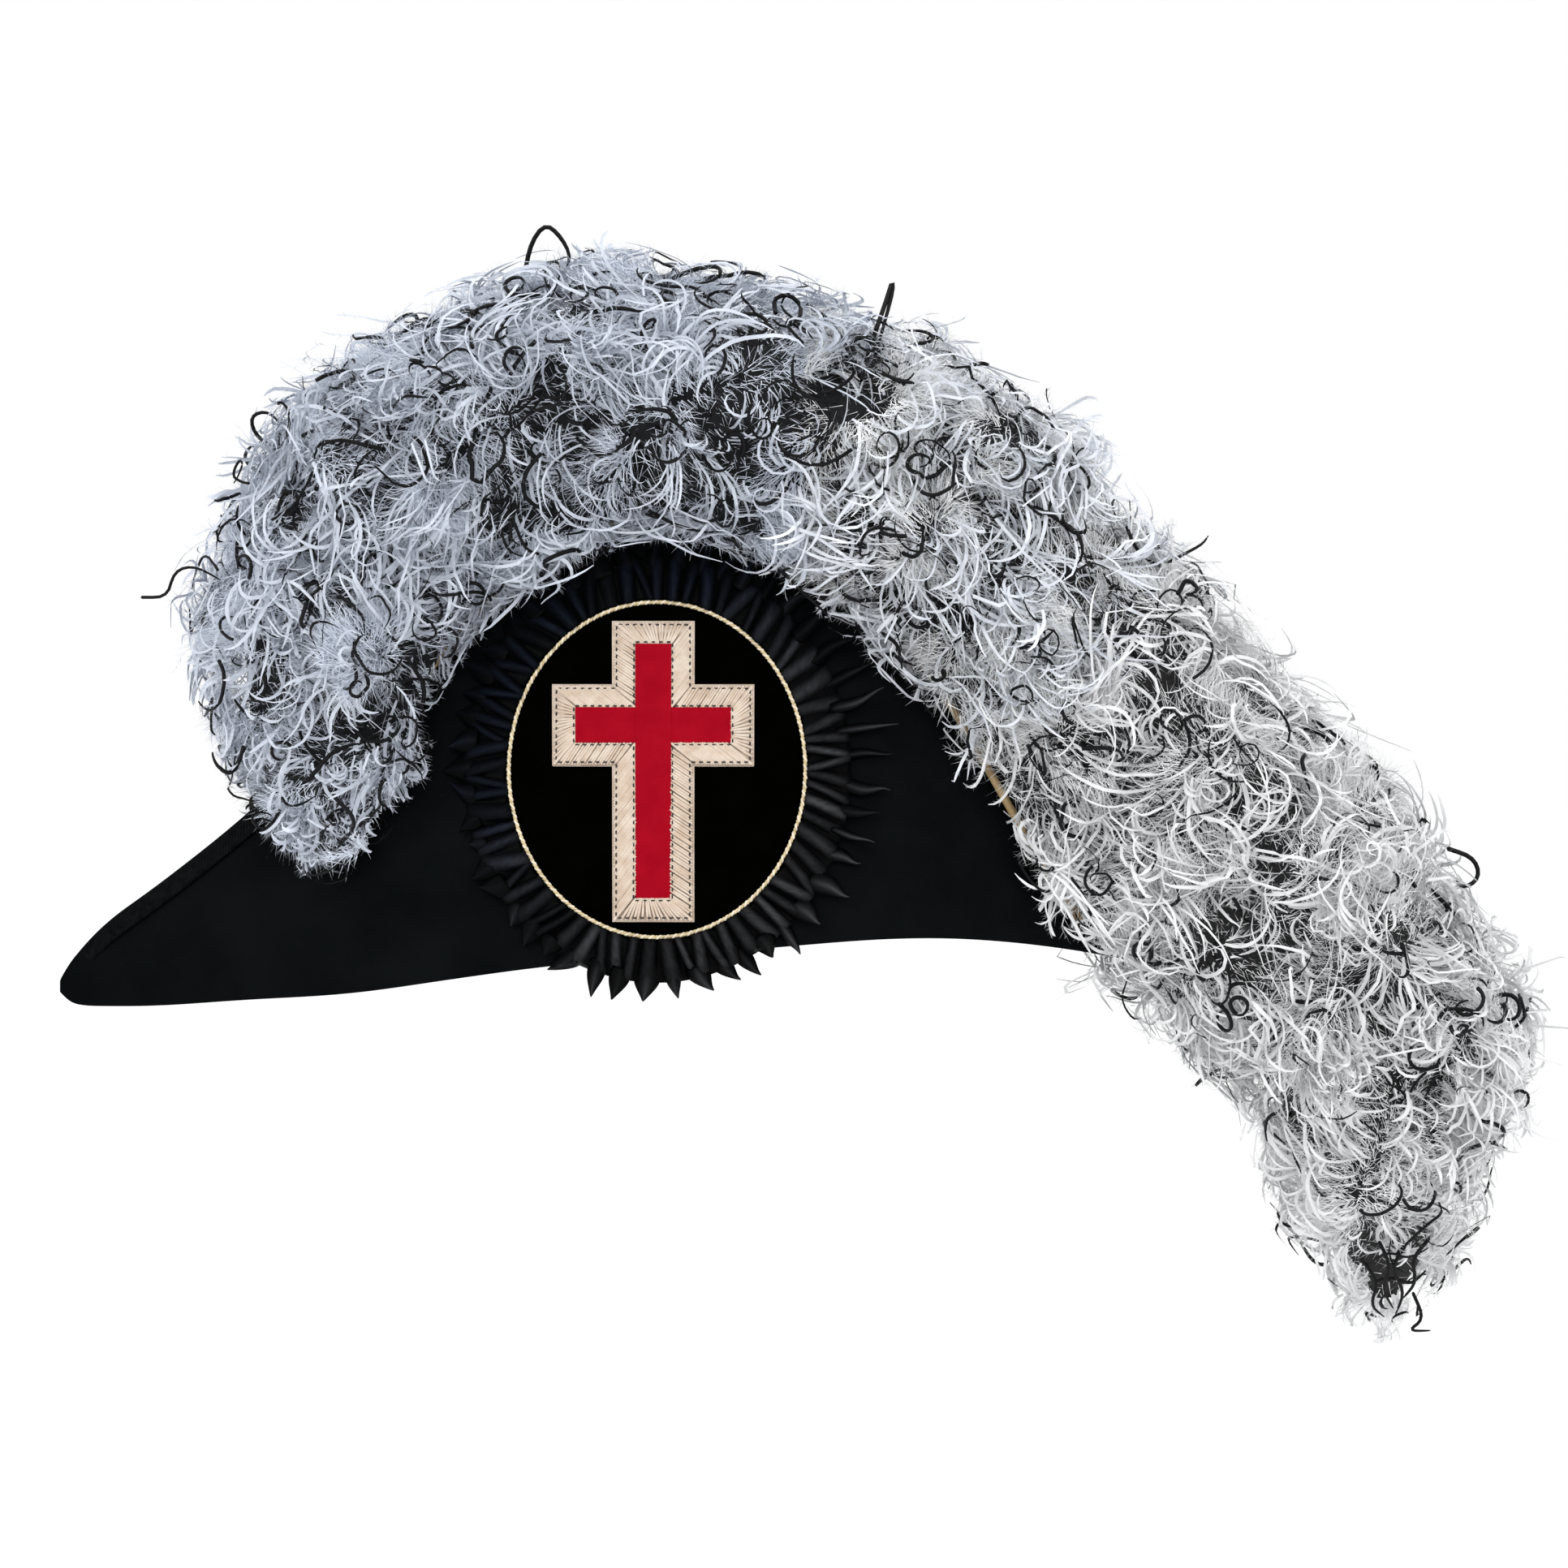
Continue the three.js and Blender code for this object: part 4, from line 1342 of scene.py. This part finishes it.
@dataclass
class Plume:
    """Ostrich plume: a dark core of painted shade, loose fuzz, clumps of curled pale flues and black
    strands.
    """

    surface: PlumeSurface
    line: Pairs = (
        (-113, 31), (-117, 82), (-94, 148), (-58, 178), (-11, 194), (42, 182), (95, 157), (136, 113),
        (174, 63), (212, 18), (240, -21), (247, -58), (252, -92), (251, -126),
    )
    line_samples: int = 300
    seed: int = 21
    shade_core_smoothings: int = 2
    shade_core_depth: float = 6.0 * MM
    shade_core_felt_gap: float = 3.0 * MM
    hairs: int = 300000
    hair_lengths: Span = (4.5 * MM, 9.5 * MM)
    hair_depths: Span = (2.0, 6.0)
    hair_half_width: float = 0.17 * MM
    fuzz_tint_split: float = 0.05
    billow_waves: int = 8
    billow_pitch: Span = (110.0, 260.0)
    swirl_waves: int = 6
    swirl_pitch: Span = (70.0, 150.0)
    phases: float = 6.3
    clumps: int = 2500
    clump_gap: float = 5.5 * MM
    clump_spread: float = 2.6
    barbs_each: int = 7
    pale: Growth = Growth((22, 44), (0.5, 2.2), 0.36, 0.08)
    tight_curl: float = 2.6
    loose_share: float = 0.6
    part_share: float = 0.36
    endings: Pairs = ((0.0, 0.35), (0.05, 0.5), (0.14, 1.0), (0.75, 1.0), (0.9, 0.75), (1.0, 0.5))
    stand_out: float = 11.0 * MM
    flue_depth: Span = (5.0 * MM, 2.4 * MM)
    quill_clumps: int = 150
    quill_span: Span = (-0.078, 0.09)
    quill_lift: float = 4.0
    quill_ending: float = 0.42
    curl: Growth = Growth((14, 40), (1.5, 7.0), 0.2, 0.1, 18)
    curls: int = 1000
    curl_gap: float = 3.0 * MM
    curl_lift: float = 3.5
    curl_shares: Pairs = ((0.02, 0.8), (0.06, 0.8), (0.16, 0.6), (0.2, 0.22))
    curl_radii: Pairs = ((0.0, 0.66), (0.6, 0.6), (1.0, 0.25))
    edge_slope: float = 0.4
    edge_share: float = 0.45
    black: Growth = Growth((14, 30), (1.5, 5.0), 0.25, 0.12)
    black_flues: int = 2000
    black_gap: float = 4.0 * MM
    black_depth: float = 2.5
    black_shares: Pairs = ((0.1, 0.8), (0.2, 0.35))
    black_stand_out: float = 9.0 * MM
    # Dark hearts: hollows where black flues stand partly for real black strands and partly for painted
    # shade.
    dark_hearts: tuple[Circle, ...] = (
        (-2, 172, 13), (66, 196, 13), (62, 160, 8), (-74, 192, 10), (-60, 152, 8), (26, 148, 9),
        (98, 168, 9), (-138, 90, 8), (-137, 110, 6), (-89, 182, 7), (-31, 150, 8), (-80, 102, 7),
        (200, 60, 9), (146, 96, 8), (174, 96, 7), (252, -110, 13), (259, -100, 7), (118, 132, 7),
        (-4, 200, 7), (122, 176, 8), (142, 128, 8), (127, 108, 7), (160, 116, 6),
    )
    tufts: tuple[Circle, ...] = (
        (-163, 109, 9), (-11, 241, 14), (89, 212, 12), (196, 121, 8), (236, 77, 8), (276, 34, 8),
        (283, 17, 7), (285, -93, 10),
    )
    tuft_height: float = 6.5 * MM
    tail_trim: Pairs = ((-10.0 * MM, 0.6), (30.0 * MM, 1.0))
    bare_stem: tuple[Circle, ...] = ((101, 84, 2.8), (110, 70, 2.2), (114, 62, 3), (120, 51, 3))
    stray_lift: float = 6.5 * MM
    stray_roundings: int = 3
    strays: tuple[Pairs, ...] = (
        ((-46, 232), (-44, 243), (-39, 250), (-34, 246), (-30, 239), (-32, 233)),
        ((69, 196), (73, 210), (78, 224), (80, 231), (80, 226), (76, 212), (72, 197)),
        ((51, 222), (58, 217), (64, 208), (68, 199)),
        ((40, 219), (39, 224), (44, 226), (49, 222), (48, 216), (42, 214), (39, 217)),
        ((-101, 150), (-106, 146), (-111, 150), (-107, 155), (-101, 152), (-102, 148)),
        ((-130, 172), (-138, 177), (-140, 184), (-134, 186), (-129, 181)),
        ((-177, 122), (-168, 122), (-166, 131), (-159, 133), (-150, 128)),
        ((160, 146), (163, 138), (171, 132), (178, 136), (186, 140), (188, 143)),
        ((240, -104), (246, -112), (243, -120), (248, -124)),
        ((252, -102), (262, -92), (268, -88), (266, -84)),
        ((258, -116), (262, -125), (256, -129), (264, -129)),
        ((246, -98), (250, -106), (247, -114), (251, -121)),
        ((255, -99), (250, -107), (255, -115), (252, -123)),
        ((263, -97), (257, -104), (259, -112), (254, -118)),
        ((242, -106), (249, -101), (256, -104), (263, -100)),
        ((244, -112), (251, -110), (257, -113), (262, -108)),
        ((280, -56), (290, -59), (285, -66), (278, -62)),
        ((270, 36), (279, 33), (281, 26), (275, 22), (271, 27)),
    )

    def build(self) -> None:
        """Builds the painted shade core, fuzz, flues, black strands and quills."""
        self.shade_core()
        self.fuzz()
        self.flues()
        self.black_strands()
        for name, node in (("left_quill_stem", "left_quill"), ("right_quill_stem", "right_quill")):
            settle(from_bmesh(name, merged(node)), HORN, Slot.QUILL, node)

    def shade_core(self) -> None:
        """Shapes the dark core under the flues from the CAD plume; its dark colour is painted shade
        between the strands.
        """
        bm = merged("plume")
        for _ in range(self.shade_core_smoothings):
            bmesh.ops.smooth_vert(
                bm, verts=bm.verts, factor=0.5, use_axis_x=True, use_axis_y=True, use_axis_z=True
            )
        bm.normal_update()
        for vert in bm.verts:
            room = 0.5 * (self.surface.off_felt(vert.co) - self.shade_core_felt_gap)
            vert.co -= vert.normal * min(self.shade_core_depth, max(0.0, room))
        settle(from_bmesh("plume_shade_core", bm), SHADE_CORE, Slot.FEATHER, "plume")

    def along(self, spots: np.ndarray) -> tuple[np.ndarray, np.ndarray]:
        """Follows the plume's middle line.

        Args:
            spots: points on the plume.

        Returns:
            Each spot's share of the way along the plume and the way's direction there.
        """
        line = np.array(self.line, float) * MM
        gaps = np.linalg.norm(np.diff(line, axis=0), axis=1)
        reached = np.concatenate([[0.0], np.cumsum(gaps)])
        fine = np.linspace(0.0, reached[-1], self.line_samples)
        path = np.stack([np.interp(fine, reached, line[:, k]) for k in range(2)], axis=1)
        heading = unit(np.gradient(path, axis=0))
        nearest = np.argmin(
            np.linalg.norm(spots[:, None, [0, 2]] - path[None, :, :], axis=2), axis=1
        )
        flow = np.stack([heading[nearest, 0], 0.0 * nearest, heading[nearest, 1]], axis=1)
        return fine[nearest] / reached[-1], flow

    def ripples(
        self, rng: np.random.Generator, spots: np.ndarray, count: int, pitch: Span
    ) -> Iterator[np.ndarray]:
        """Yields slow waves over the plume.

        Args:
            rng: the source of chance.
            spots: points on the plume.
            count: how many waves.
            pitch: the least and most radians of a wave to the metre.

        Returns:
            The waves' heights at the spots, one wave at a time.
        """
        for _ in range(count):
            wave = unit(rng.normal(size=3)) * rng.uniform(*pitch)
            yield np.sin(spots @ wave + rng.uniform(0.0, self.phases))

    def billow(self, spots: np.ndarray) -> np.ndarray:
        """Tells how full the plume is.

        Args:
            spots: points on the plume.

        Returns:
            Each spot's fullness, from 0 in a hollow to 1 on a tuft.
        """
        rng = np.random.default_rng(self.seed + 4)
        field = sum(self.ripples(rng, spots, self.billow_waves, self.billow_pitch))
        return 0.5 + 0.5 * np.tanh(field / 2.0)

    def swirl(self, spots: np.ndarray, normals: np.ndarray) -> np.ndarray:
        """Gives directions along the surface that change slowly from spot to spot.

        Args:
            spots: points on the plume.
            normals: the surface's outward normals there.

        Returns:
            The directions.
        """
        rng = np.random.default_rng(self.seed + 2)
        field = np.zeros_like(spots)
        for ripple in self.ripples(rng, spots, self.swirl_waves, self.swirl_pitch):
            field += ripple[:, None] * rng.normal(size=3)
        return unit(field - normals * np.sum(field * normals, axis=1, keepdims=True))

    def in_heart(self, spots: np.ndarray) -> np.ndarray:
        """Tells which spots lie in the dark hearts of the plume."""
        return np.any([radii_off(spots, heart) < 1.0 for heart in self.dark_hearts], axis=0)

    def swell(self, spots: np.ndarray) -> np.ndarray:
        """Returns how far the plume's loose strands stand off the CAD plume in its tufts."""
        return sum(self.tuft_height * np.exp(-radii_off(spots, tuft) ** 2) for tuft in self.tufts)

    def trimmed(self, spots: np.ndarray) -> np.ndarray:
        """Returns the share of their reach that strands keep, less in the tail."""
        return np.interp(spots[:, 2], *zip(*self.tail_trim))

    def off_stem(self, paths: np.ndarray) -> np.ndarray:
        """Tells which strands keep clear of the stretches where the quill's stem shows."""
        gaps = [radii_off(paths, spot).min(axis=1) for spot in self.bare_stem]
        return np.min(gaps, axis=0) > 1.0

    def fuzz(self) -> None:
        """Covers the painted shade core with fine loose hairs, joined in two stretches of the plume
        with painted light tints.
        """
        rng = np.random.default_rng(self.seed + 3)
        spots, normals = self.surface.scatter(rng, self.hairs)
        full = self.billow(spots)
        kept = rng.random(len(spots)) < np.where(self.in_heart(spots), 0.05, 0.15 + 0.85 * full)
        spots, normals, full = spots[kept], normals[kept], full[kept, None]
        chance = rng.normal(size=spots.shape)
        ways = unit(self.swirl(spots, normals) * 0.8 + normals * 0.5 + chance * 0.45)
        feet = spots - normals * rng.uniform(*self.hair_depths, (len(spots), 1)) * MM
        feet += normals * self.swell(spots)[:, None]
        reach = (0.7 + 0.8 * full) * self.trimmed(spots)[:, None]
        tips = feet + ways * rng.uniform(*self.hair_lengths, (len(spots), 1)) * reach
        across = unit(np.cross(ways, rng.normal(size=spots.shape))) * self.hair_half_width
        hairs = np.stack([feet - across, feet + across, tips], axis=1)
        clear = self.off_stem(hairs)
        hairs, behind = hairs[clear], spots[clear, 0] > self.fuzz_tint_split
        # Painted light tint: cool fuzz in front of the split, warm fuzz behind it.
        for name, finish, own in (("front", COOL_FUZZ, ~behind), ("back", WARM_FUZZ, behind)):
            points = hairs[own].reshape(-1, 3)
            faces = np.arange(len(points)).reshape(-1, 3)
            piece = from_arrays(f"plume_fuzz_{name}", points, faces, smooth=False)
            settle(piece, finish, Slot.FEATHER)

    def quill_spots(self, rng: np.random.Generator) -> tuple[np.ndarray, np.ndarray]:
        """Picks spots on both quills where flues hide them.

        Args:
            rng: the source of chance.

        Returns:
            The spots and their sideways normals.
        """
        first, last = self.quill_span
        spots = np.array([
            tuple(vert.co) for node in ("left_quill", "right_quill")
            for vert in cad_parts[node].data.vertices if first < vert.co.x < last
        ])
        spots = spots[rng.choice(len(spots), self.quill_clumps, replace=False)]
        sideways = np.zeros_like(spots)
        sideways[:, 1] = np.sign(spots[:, 1])
        return spots + sideways * self.quill_lift * MM, sideways

    def flues(self) -> None:
        """Grows pale flues in curled clumps and joins them in five stretches of the plume."""
        rng = np.random.default_rng(self.seed)
        strands = Strands(rng)
        spots, normals = self.surface.spaced(rng, self.clumps, self.clump_gap)
        likely = np.where(self.in_heart(spots), 0.3, 0.55 + 0.45 * self.billow(spots))
        kept = rng.random(len(spots)) < likely
        near, sideways = self.quill_spots(rng)
        spots = np.concatenate([spots[kept], near])
        normals = np.concatenate([normals[kept], sideways])
        share, flow = self.along(spots)
        toward = np.where(share < self.part_share, -1.0, 1.0)[:, None]
        droop = np.array([0.0, 0.0, -0.25])
        pull = flow * toward * 0.3 + droop + self.swirl(spots, normals) * 0.75
        heads, axes = strands.headings(normals, pull, self.pale.rise)
        ending = np.interp(share, *zip(*self.endings))
        ending[-len(near):] *= self.quill_ending
        lengths = rng.uniform(*self.pale.lengths, len(spots)) * ending * MM
        tightness = np.where(rng.random(len(spots)) < self.loose_share, 1.0, self.tight_curl)
        turns = tightness * rng.uniform(*self.pale.turns, len(spots))
        each = self.barbs_each
        count = len(spots) * each
        spread = rng.normal(size=(count, 3)) * self.clump_spread * MM
        depth = rng.normal(*self.flue_depth, (len(spots), 1))
        swell = self.swell(spots)
        roots = np.repeat(spots + normals * (swell[:, None] - depth), each, axis=0) + spread
        heads = unit(np.repeat(heads, each, axis=0) + rng.normal(size=(count, 3)) * 0.3)
        axes = np.repeat(axes, each, axis=0) + rng.normal(size=(count, 3)) * 0.25
        axes = strands.squared(axes, heads)
        lengths = np.repeat(lengths, each) * rng.uniform(0.7, 1.15, count)
        turns = np.repeat(turns, each) * rng.uniform(0.75, 1.25, count)
        paths, ways = strands.grow((roots, heads, axes), lengths, turns, self.pale)
        most = self.stand_out * (0.5 + self.billow(spots)) * self.trimmed(spots) + swell
        paths = self.surface.combed(paths, np.repeat(most, each))
        kept = strands.flowing(paths) & self.off_stem(paths)
        self.stretches(strands, (paths[kept], ways[kept], axes[kept]), np.repeat(share, each)[kept])

    @staticmethod
    def stretches(strands: Strands, grown: tuple[np.ndarray, ...], share: np.ndarray) -> None:
        """Joins the pale flues in stretches of the plume that hold as many each, tinted with painted
        light: cool in front, warmer behind.

        Args:
            strands: the maker of ribbons.
            grown: paths, directions and curl axes of the flues.
            share: each flue's share of the way along the plume.
        """
        names = (
            ("front", COOL_FLUE), ("brow", COOL_FLUE), ("crest", PALE_FLUE),
            ("back", WARM_FLUE), ("tail", WARM_FLUE),
        )
        limits = np.quantile(share, np.linspace(0.0, 1.0, len(names) + 1))
        limits[-1] += 1.0
        for (name, finish), low, high in zip(names, limits, limits[1:]):
            own = (share >= low) & (share < high)
            points, faces = strands.ribbons(*(rows[own] for rows in grown))
            piece = from_arrays(f"plume_flues_{name}", points, faces, smooth=False)
            settle(piece, finish, Slot.FEATHER)

    def drawn(self, stray: Pairs) -> np.ndarray:
        """Lays a strand through points in the side view, rooted at both ends and lifted between.

        Args:
            stray: x and z of the points in millimetres.

        Returns:
            The strand's path.
        """
        corners = np.array(stray, float) * MM
        for _ in range(self.stray_roundings):
            early = corners[:-1] * 0.75 + corners[1:] * 0.25
            late = corners[:-1] * 0.25 + corners[1:] * 0.75
            between = np.stack([early, late], axis=1).reshape(-1, 2)
            corners = np.concatenate([corners[:1], between, corners[-1:]])
        place = np.linspace(0, len(corners) - 1, self.curl.stops)
        steps = np.arange(len(corners))
        flat = np.stack([np.interp(place, steps, corners[:, k]) for k in range(2)], axis=1)
        lifts = self.stray_lift * np.sin(np.linspace(0.0, math.pi, self.curl.stops))
        path = np.array([(x, self.surface.front(x, z) - lift, z) for (x, z), lift in zip(flat, lifts)])
        path[:, 1] = np.convolve(np.pad(path[:, 1], 3, mode="edge"), np.full(7, 1 / 7), mode="valid")
        return path

    def black_strands(self) -> None:
        """Grows the black curls and black flues among the pale ones."""
        rng = np.random.default_rng(self.seed + 1)
        self.grow_curls(rng)
        self.grow_black_flues(rng)

    def grow_curls(self, rng: np.random.Generator) -> None:
        """Grows round black curls, and lays those that are seen singly.

        Args:
            rng: the source of chance.
        """
        strands = Strands(rng)
        spots, normals = self.surface.spaced(rng, self.curls, self.curl_gap)
        edge = np.abs(normals[:, 1]) < self.edge_slope
        likely = np.where(edge, self.edge_share, 1.0) * np.interp(spots[:, 0], *zip(*self.curl_shares))
        chosen = rng.random(len(spots)) < likely
        spots, normals, edge = spots[chosen], normals[chosen], edge[chosen, None]
        roots = spots + normals * np.where(edge, 0.0, self.curl_lift) * MM
        paths, _, _ = strands.sprout(roots, normals, self.curl)
        paths = self.surface.combed(paths, np.full(len(paths), self.black_stand_out))
        paths = paths[strands.flowing(paths) & self.off_stem(paths)]
        paths = np.concatenate([paths, np.array([self.drawn(stray) for stray in self.strays])])
        radii = np.interp(np.linspace(0, 1, self.curl.stops), *zip(*self.curl_radii)) * MM
        radii = radii[None, :] * rng.uniform(0.7, 1.3, len(paths))[:, None]
        points, faces = Tubes(4).sweep(paths, radii)
        settle(from_arrays("plume_black_curls", points, faces), DARK_FLUE, Slot.FEATHER)

    def grow_black_flues(self, rng: np.random.Generator) -> None:
        """Grows flat black flues, in the dark hearts and scattered elsewhere; they are partly the
        plume's black strands and partly painted shade among the pale flues.

        Args:
            rng: the source of chance.
        """
        strands = Strands(rng)
        spots, normals = self.surface.spaced(rng, self.black_flues, self.black_gap)
        chosen = rng.random(len(spots)) < np.interp(spots[:, 0], *zip(*self.black_shares))
        # Black flues go into every dark heart, partly real black strands and partly painted shade.
        chosen |= self.in_heart(spots)
        spots, normals = spots[chosen], normals[chosen]
        depth = np.where(self.in_heart(spots), -1.0, 1.0)[:, None] * self.black_depth * MM
        paths, ways, axes = strands.sprout(spots - normals * depth, normals, self.black)
        paths = self.surface.combed(paths, np.full(len(paths), self.black_stand_out))
        kept = strands.flowing(paths) & self.off_stem(paths)
        points, faces = strands.ribbons(paths[kept], ways[kept], axes[kept])
        piece = from_arrays("plume_black_flues", points, faces, smooth=False)
        settle(piece, DARK_FLUE, Slot.FEATHER)


@dataclass
class Studio:
    """Pale floor, soft light and the camera at the photo's angle."""

    middle: tuple[float, float, float] = (0.0428, 0.0, 0.0581)
    width: float = 0.5367
    distance: float = 12.0
    rise: float = 0.4
    floor: float = -0.26
    floor_radius: float = 40.0
    floor_glow: float = 0.12
    lamps: tuple[tuple[str, Colour, float, float], ...] = (
        ("key_lamp", (-1.0, -1.8, 1.6), 1.2, 22.0),
        ("fill_lamp", (1.6, -1.6, 0.8), 1.4, 9.0),
        ("top_lamp", (0.1, 0.3, 2.0), 1.4, 12.0),
    )

    def build(self) -> None:
        """Sets up floor, light and camera."""
        self.ground()
        self.light()
        self.camera()

    def ground(self) -> None:
        """Lays a wide pale floor."""
        bm = bmesh.new()
        bmesh.ops.create_circle(bm, cap_ends=True, segments=64, radius=self.floor_radius)
        bmesh.ops.translate(bm, verts=bm.verts, vec=(0.0, 0.0, self.floor))
        floor = from_bmesh("pale_floor", bm)
        paper = PAPER.material()
        shader = paper.node_tree.nodes["Principled BSDF"]
        shader.inputs["Emission Color"].default_value = (1.0, 1.0, 1.0, 1.0)
        shader.inputs["Emission Strength"].default_value = self.floor_glow
        floor.data.materials.append(paper)

    def light(self) -> None:
        """Hangs soft lamps and an even surround."""
        world = bpy.data.worlds.new("surround")
        world.use_nodes = True
        background = world.node_tree.nodes["Background"]
        background.inputs["Color"].default_value = (1.0, 1.0, 1.0, 1.0)
        background.inputs["Strength"].default_value = 1.0
        bpy.context.scene.world = world
        for name, place, size, power in self.lamps:
            data = bpy.data.lights.new(name, "AREA")
            data.energy = power
            data.size = size
            lamp = bpy.data.objects.new(name, data)
            bpy.context.scene.collection.objects.link(lamp)
            lamp.location = place
            aim = Vector(self.middle) - Vector(place)
            lamp.rotation_euler = aim.to_track_quat("-Z", "Y").to_euler()

    def camera(self) -> None:
        """Aims a long lens at the rosette side."""
        data = bpy.data.cameras.new("camera")
        data.sensor_width = 36.0
        data.lens = data.sensor_width * self.distance / self.width
        data.clip_end = 80.0
        camera = bpy.data.objects.new("camera", data)
        bpy.context.scene.collection.objects.link(camera)
        tilt = math.radians(self.rise)
        aim = Vector(self.middle)
        camera.location = aim + Vector((0.0, -math.cos(tilt), math.sin(tilt))) * self.distance
        camera.rotation_euler = (aim - camera.location).to_track_quat("-Z", "Y").to_euler()
        bpy.context.scene.camera = camera
        bpy.context.scene.view_settings.view_transform = "Standard"


def main() -> None:
    """Dresses the whole hat."""
    logging.basicConfig(level=logging.INFO, format="%(message)s")
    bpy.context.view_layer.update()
    panel = Felt().build()
    side = HatSide(panel)
    Rosette(side, Oval.of_node("medallion_cord", 3.2 * MM)).build()
    Cross(side).build()
    Plume(PlumeSurface(side)).build()
    Studio().build()


if __name__ == "__main__":
    main()
